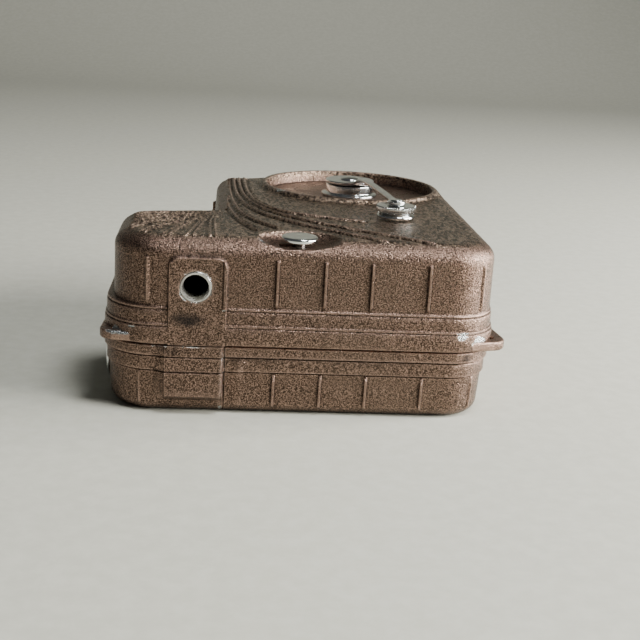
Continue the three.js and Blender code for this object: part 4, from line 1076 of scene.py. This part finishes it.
def lens():
    """The lens: a turned mount, a knurled aperture ring and a grooved barrel round a domed element."""
    mount = lathe("mount", LENS, rounded([
        (6.2, -25.2), (7.4, -25.2), (7.4, -26.9), (8.8, -26.9), (9.0, -26.7), (9.0, -26.35), (8.3, -26.35),
        (8.3, -19), (6.2, -19),
    ], 0.12), "X")
    finish(mount, "chrome", "case", "lens_mount")
    ring = lathe("ring", LENS, rounded([
        (5.1, -27.1), (6.2, -27.1), (6.3, -27.0), (6.7, -27.0), (7.2, -26.75), (7.2, -25.7), (5.1, -25.7),
    ], 0.1), "X", sides=480, knurl=(-26.9, -25.6, 80, 0.22))
    pointer = brick(-27.3, -26.98, LENS[0] - 0.45, LENS[0] + 0.45, LENS[1] + 6, LENS[1] + 8.9)
    soften(pointer, 0.1)
    baked(pointer)
    finish(merged("iris_ring", [ring, pointer]), "chrome", "aperture", "aperture_ring")
    steps = [(5 - 0.22 * k, -27.1 + (0.12 if k % 2 else 0)) for k in range(1, 9)]
    barrel = lathe("barrel", LENS, [
        (5.0, -25.5), (6.1, -25.5), (6.1, -17.5), (4.4, -17.5), (4.4, -21), (4, -21), (4, -25.4), (3, -26.2),
        (3, -27.1), *steps[::-1], (5.0, -27.0),
    ], "X")
    finish(barrel, "blackened", "case", "lens_barrel")
    dome = [(3.9 * math.sin(t), -23.5 - 1.4 * math.cos(t)) for t in np.linspace(0.01, math.pi / 2, 24)]
    front = lathe("front_glass", LENS, dome + [(3.9, -22.4), (0.02, -22.4)], "X")
    finish(front, "glass", "case", "lens_front_element")


def latch():
    """The door's turning latch: a milled disc with a coin slot."""
    x, y = LATCH
    disc = lathe("disc", LATCH, rounded([
        (0.02, 0.05), (2.6, 0.05), (2.8, 0.2), (5.1, 0.2), (5.3, 0.05), (6.45, 0.05), (6.6, 0.2), (6.6, 0.8),
        (2.15, 0.8), (2.15, 3.1), (0.02, 3.1),
    ], 0.08), sides=480, knurl=(0.1, 0.75, 90, 0.16))
    slot = brick(x - 5, x + 5, y - 0.6, y + 0.6, -1, 0.5)
    finish(boolean(disc, slot), "steel", "latch", "latch_dial")


main_casting()
lower_pieces()
crank()
start_button()
tripod_bush()
lens()
latch()

# ---- Camera, floor and light ----
scene = bpy.context.scene
# Lens in mm, turns in degrees, and place in the case's own millimetres.
VIEW = {"lens": 64.68, "down": 16.09, "right": 4.97, "roll": 3.24, "at": (-0.5, -242.5, 93.2)}


def aim_camera():
    cam = bpy.data.cameras.new("camera")
    cam.sensor_width = 36
    cam.lens = VIEW["lens"]
    cam.clip_start = 0.01
    obj = bpy.data.objects.new("camera", cam)
    scene.collection.objects.link(obj)
    pitch, yaw, roll = (math.radians(VIEW[key]) for key in ("down", "right", "roll"))
    forward = Vector((math.sin(yaw) * math.cos(pitch), math.cos(yaw) * math.cos(pitch), -math.sin(pitch)))
    right = Vector((math.cos(yaw), -math.sin(yaw), 0))
    up = right.cross(forward)
    right2 = right * math.cos(roll) + up * math.sin(roll)
    up2 = up * math.cos(roll) - right * math.sin(roll)
    turn = Matrix((right2, up2, -forward)).transposed().to_4x4()
    at = (np.array(VIEW["at"]) + ZERO) * MM
    obj.matrix_world = Matrix.Translation(at) @ turn
    scene.camera = obj


aim_camera()


# Name, place in metres, watts, size in metres, colour.
LIGHTS = [
    ("window", (0.60, -0.27, 0.27), 8.6, (0.28, 0.28), (1.0, 0.985, 0.95)),
    ("side", (0.60, 0.02, 0.17), 9.0, (0.22, 0.3), (1.0, 0.97, 0.94)),
    ("ceiling", (0.26, -0.28, 0.85), 8.0, (0.28, 0.28), (0.98, 0.99, 1.0)),
]
SKY, SKY_STRENGTH = (0.93, 0.96, 1.0, 1), 0.07
CURVE_Y, CURVE_R = 0.75, 0.5  # where and how tightly the paper rises, in metres
AIM = (0, 0, 0.02)  # what the lights point at


def studio():
    """A pale sweep of paper under three soft lights, two from the right and one above, and a dim sky."""
    span = np.linspace(-1.6, 1.6, 9)
    profile = [(-1.4, 0.0), (-0.4, 0.0), (0.4, 0.0), (CURVE_Y, 0.0)]
    for t in np.linspace(0.1, math.pi / 2, 16):
        profile.append((CURVE_Y + CURVE_R * math.sin(t), CURVE_R - CURVE_R * math.cos(t)))
    profile += [(1.25, 1.2), (1.25, 2.2)]
    verts = [(x, y, z) for y, z in profile for x in span]
    mesh = bpy.data.meshes.new("paper_sweep")
    mesh.from_pydata(verts, [], ring_faces(len(span), len(profile), closed=False))
    mesh.shade_smooth()
    sweep = bpy.data.objects.new("paper_sweep", mesh)
    scene.collection.objects.link(sweep)
    paper = Shader("paper", Roughness=0.85)
    paper.surface.inputs["Specular IOR Level"].default_value = 0.2
    fibre = paper.ramp(paper.noise(260, 5.0, 0.6), 0.3, 0.75)
    paper.set("Base Color", paper.blend(fibre, (0.47, 0.47, 0.40), (0.52, 0.52, 0.45)))
    paper.bump(paper.noise(900, 4.0), 0.12, 0.0001)
    mesh.materials.append(paper.material)
    world = bpy.data.worlds.new("studio")
    world.use_nodes = True
    world.node_tree.nodes["Background"].inputs["Color"].default_value = SKY
    world.node_tree.nodes["Background"].inputs["Strength"].default_value = SKY_STRENGTH
    scene.world = world
    for name, at, power, size, colour in LIGHTS:
        lamp = bpy.data.lights.new(name, "AREA")
        lamp.shape = "RECTANGLE"
        lamp.size, lamp.size_y = size
        lamp.energy = power
        lamp.color = colour
        obj = bpy.data.objects.new(name, lamp)
        scene.collection.objects.link(obj)
        obj.location = at
        obj.rotation_euler = (Vector(AIM) - Vector(at)).to_track_quat("-Z", "Y").to_euler()


studio()

# ---- The CAD pieces that stay ----
SOFTENED = (
    "finder_base", "finder_front_frame", "finder_rear_frame", "latch_bar", "cover_screw_1", "cover_screw_2",
)
for name in SOFTENED:
    soften(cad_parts[name], 0.14)

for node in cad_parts.values():
    for place in node.material_slots:
        place.material = SLOTS.get(place.material.name.split(".")[0], STEEL)
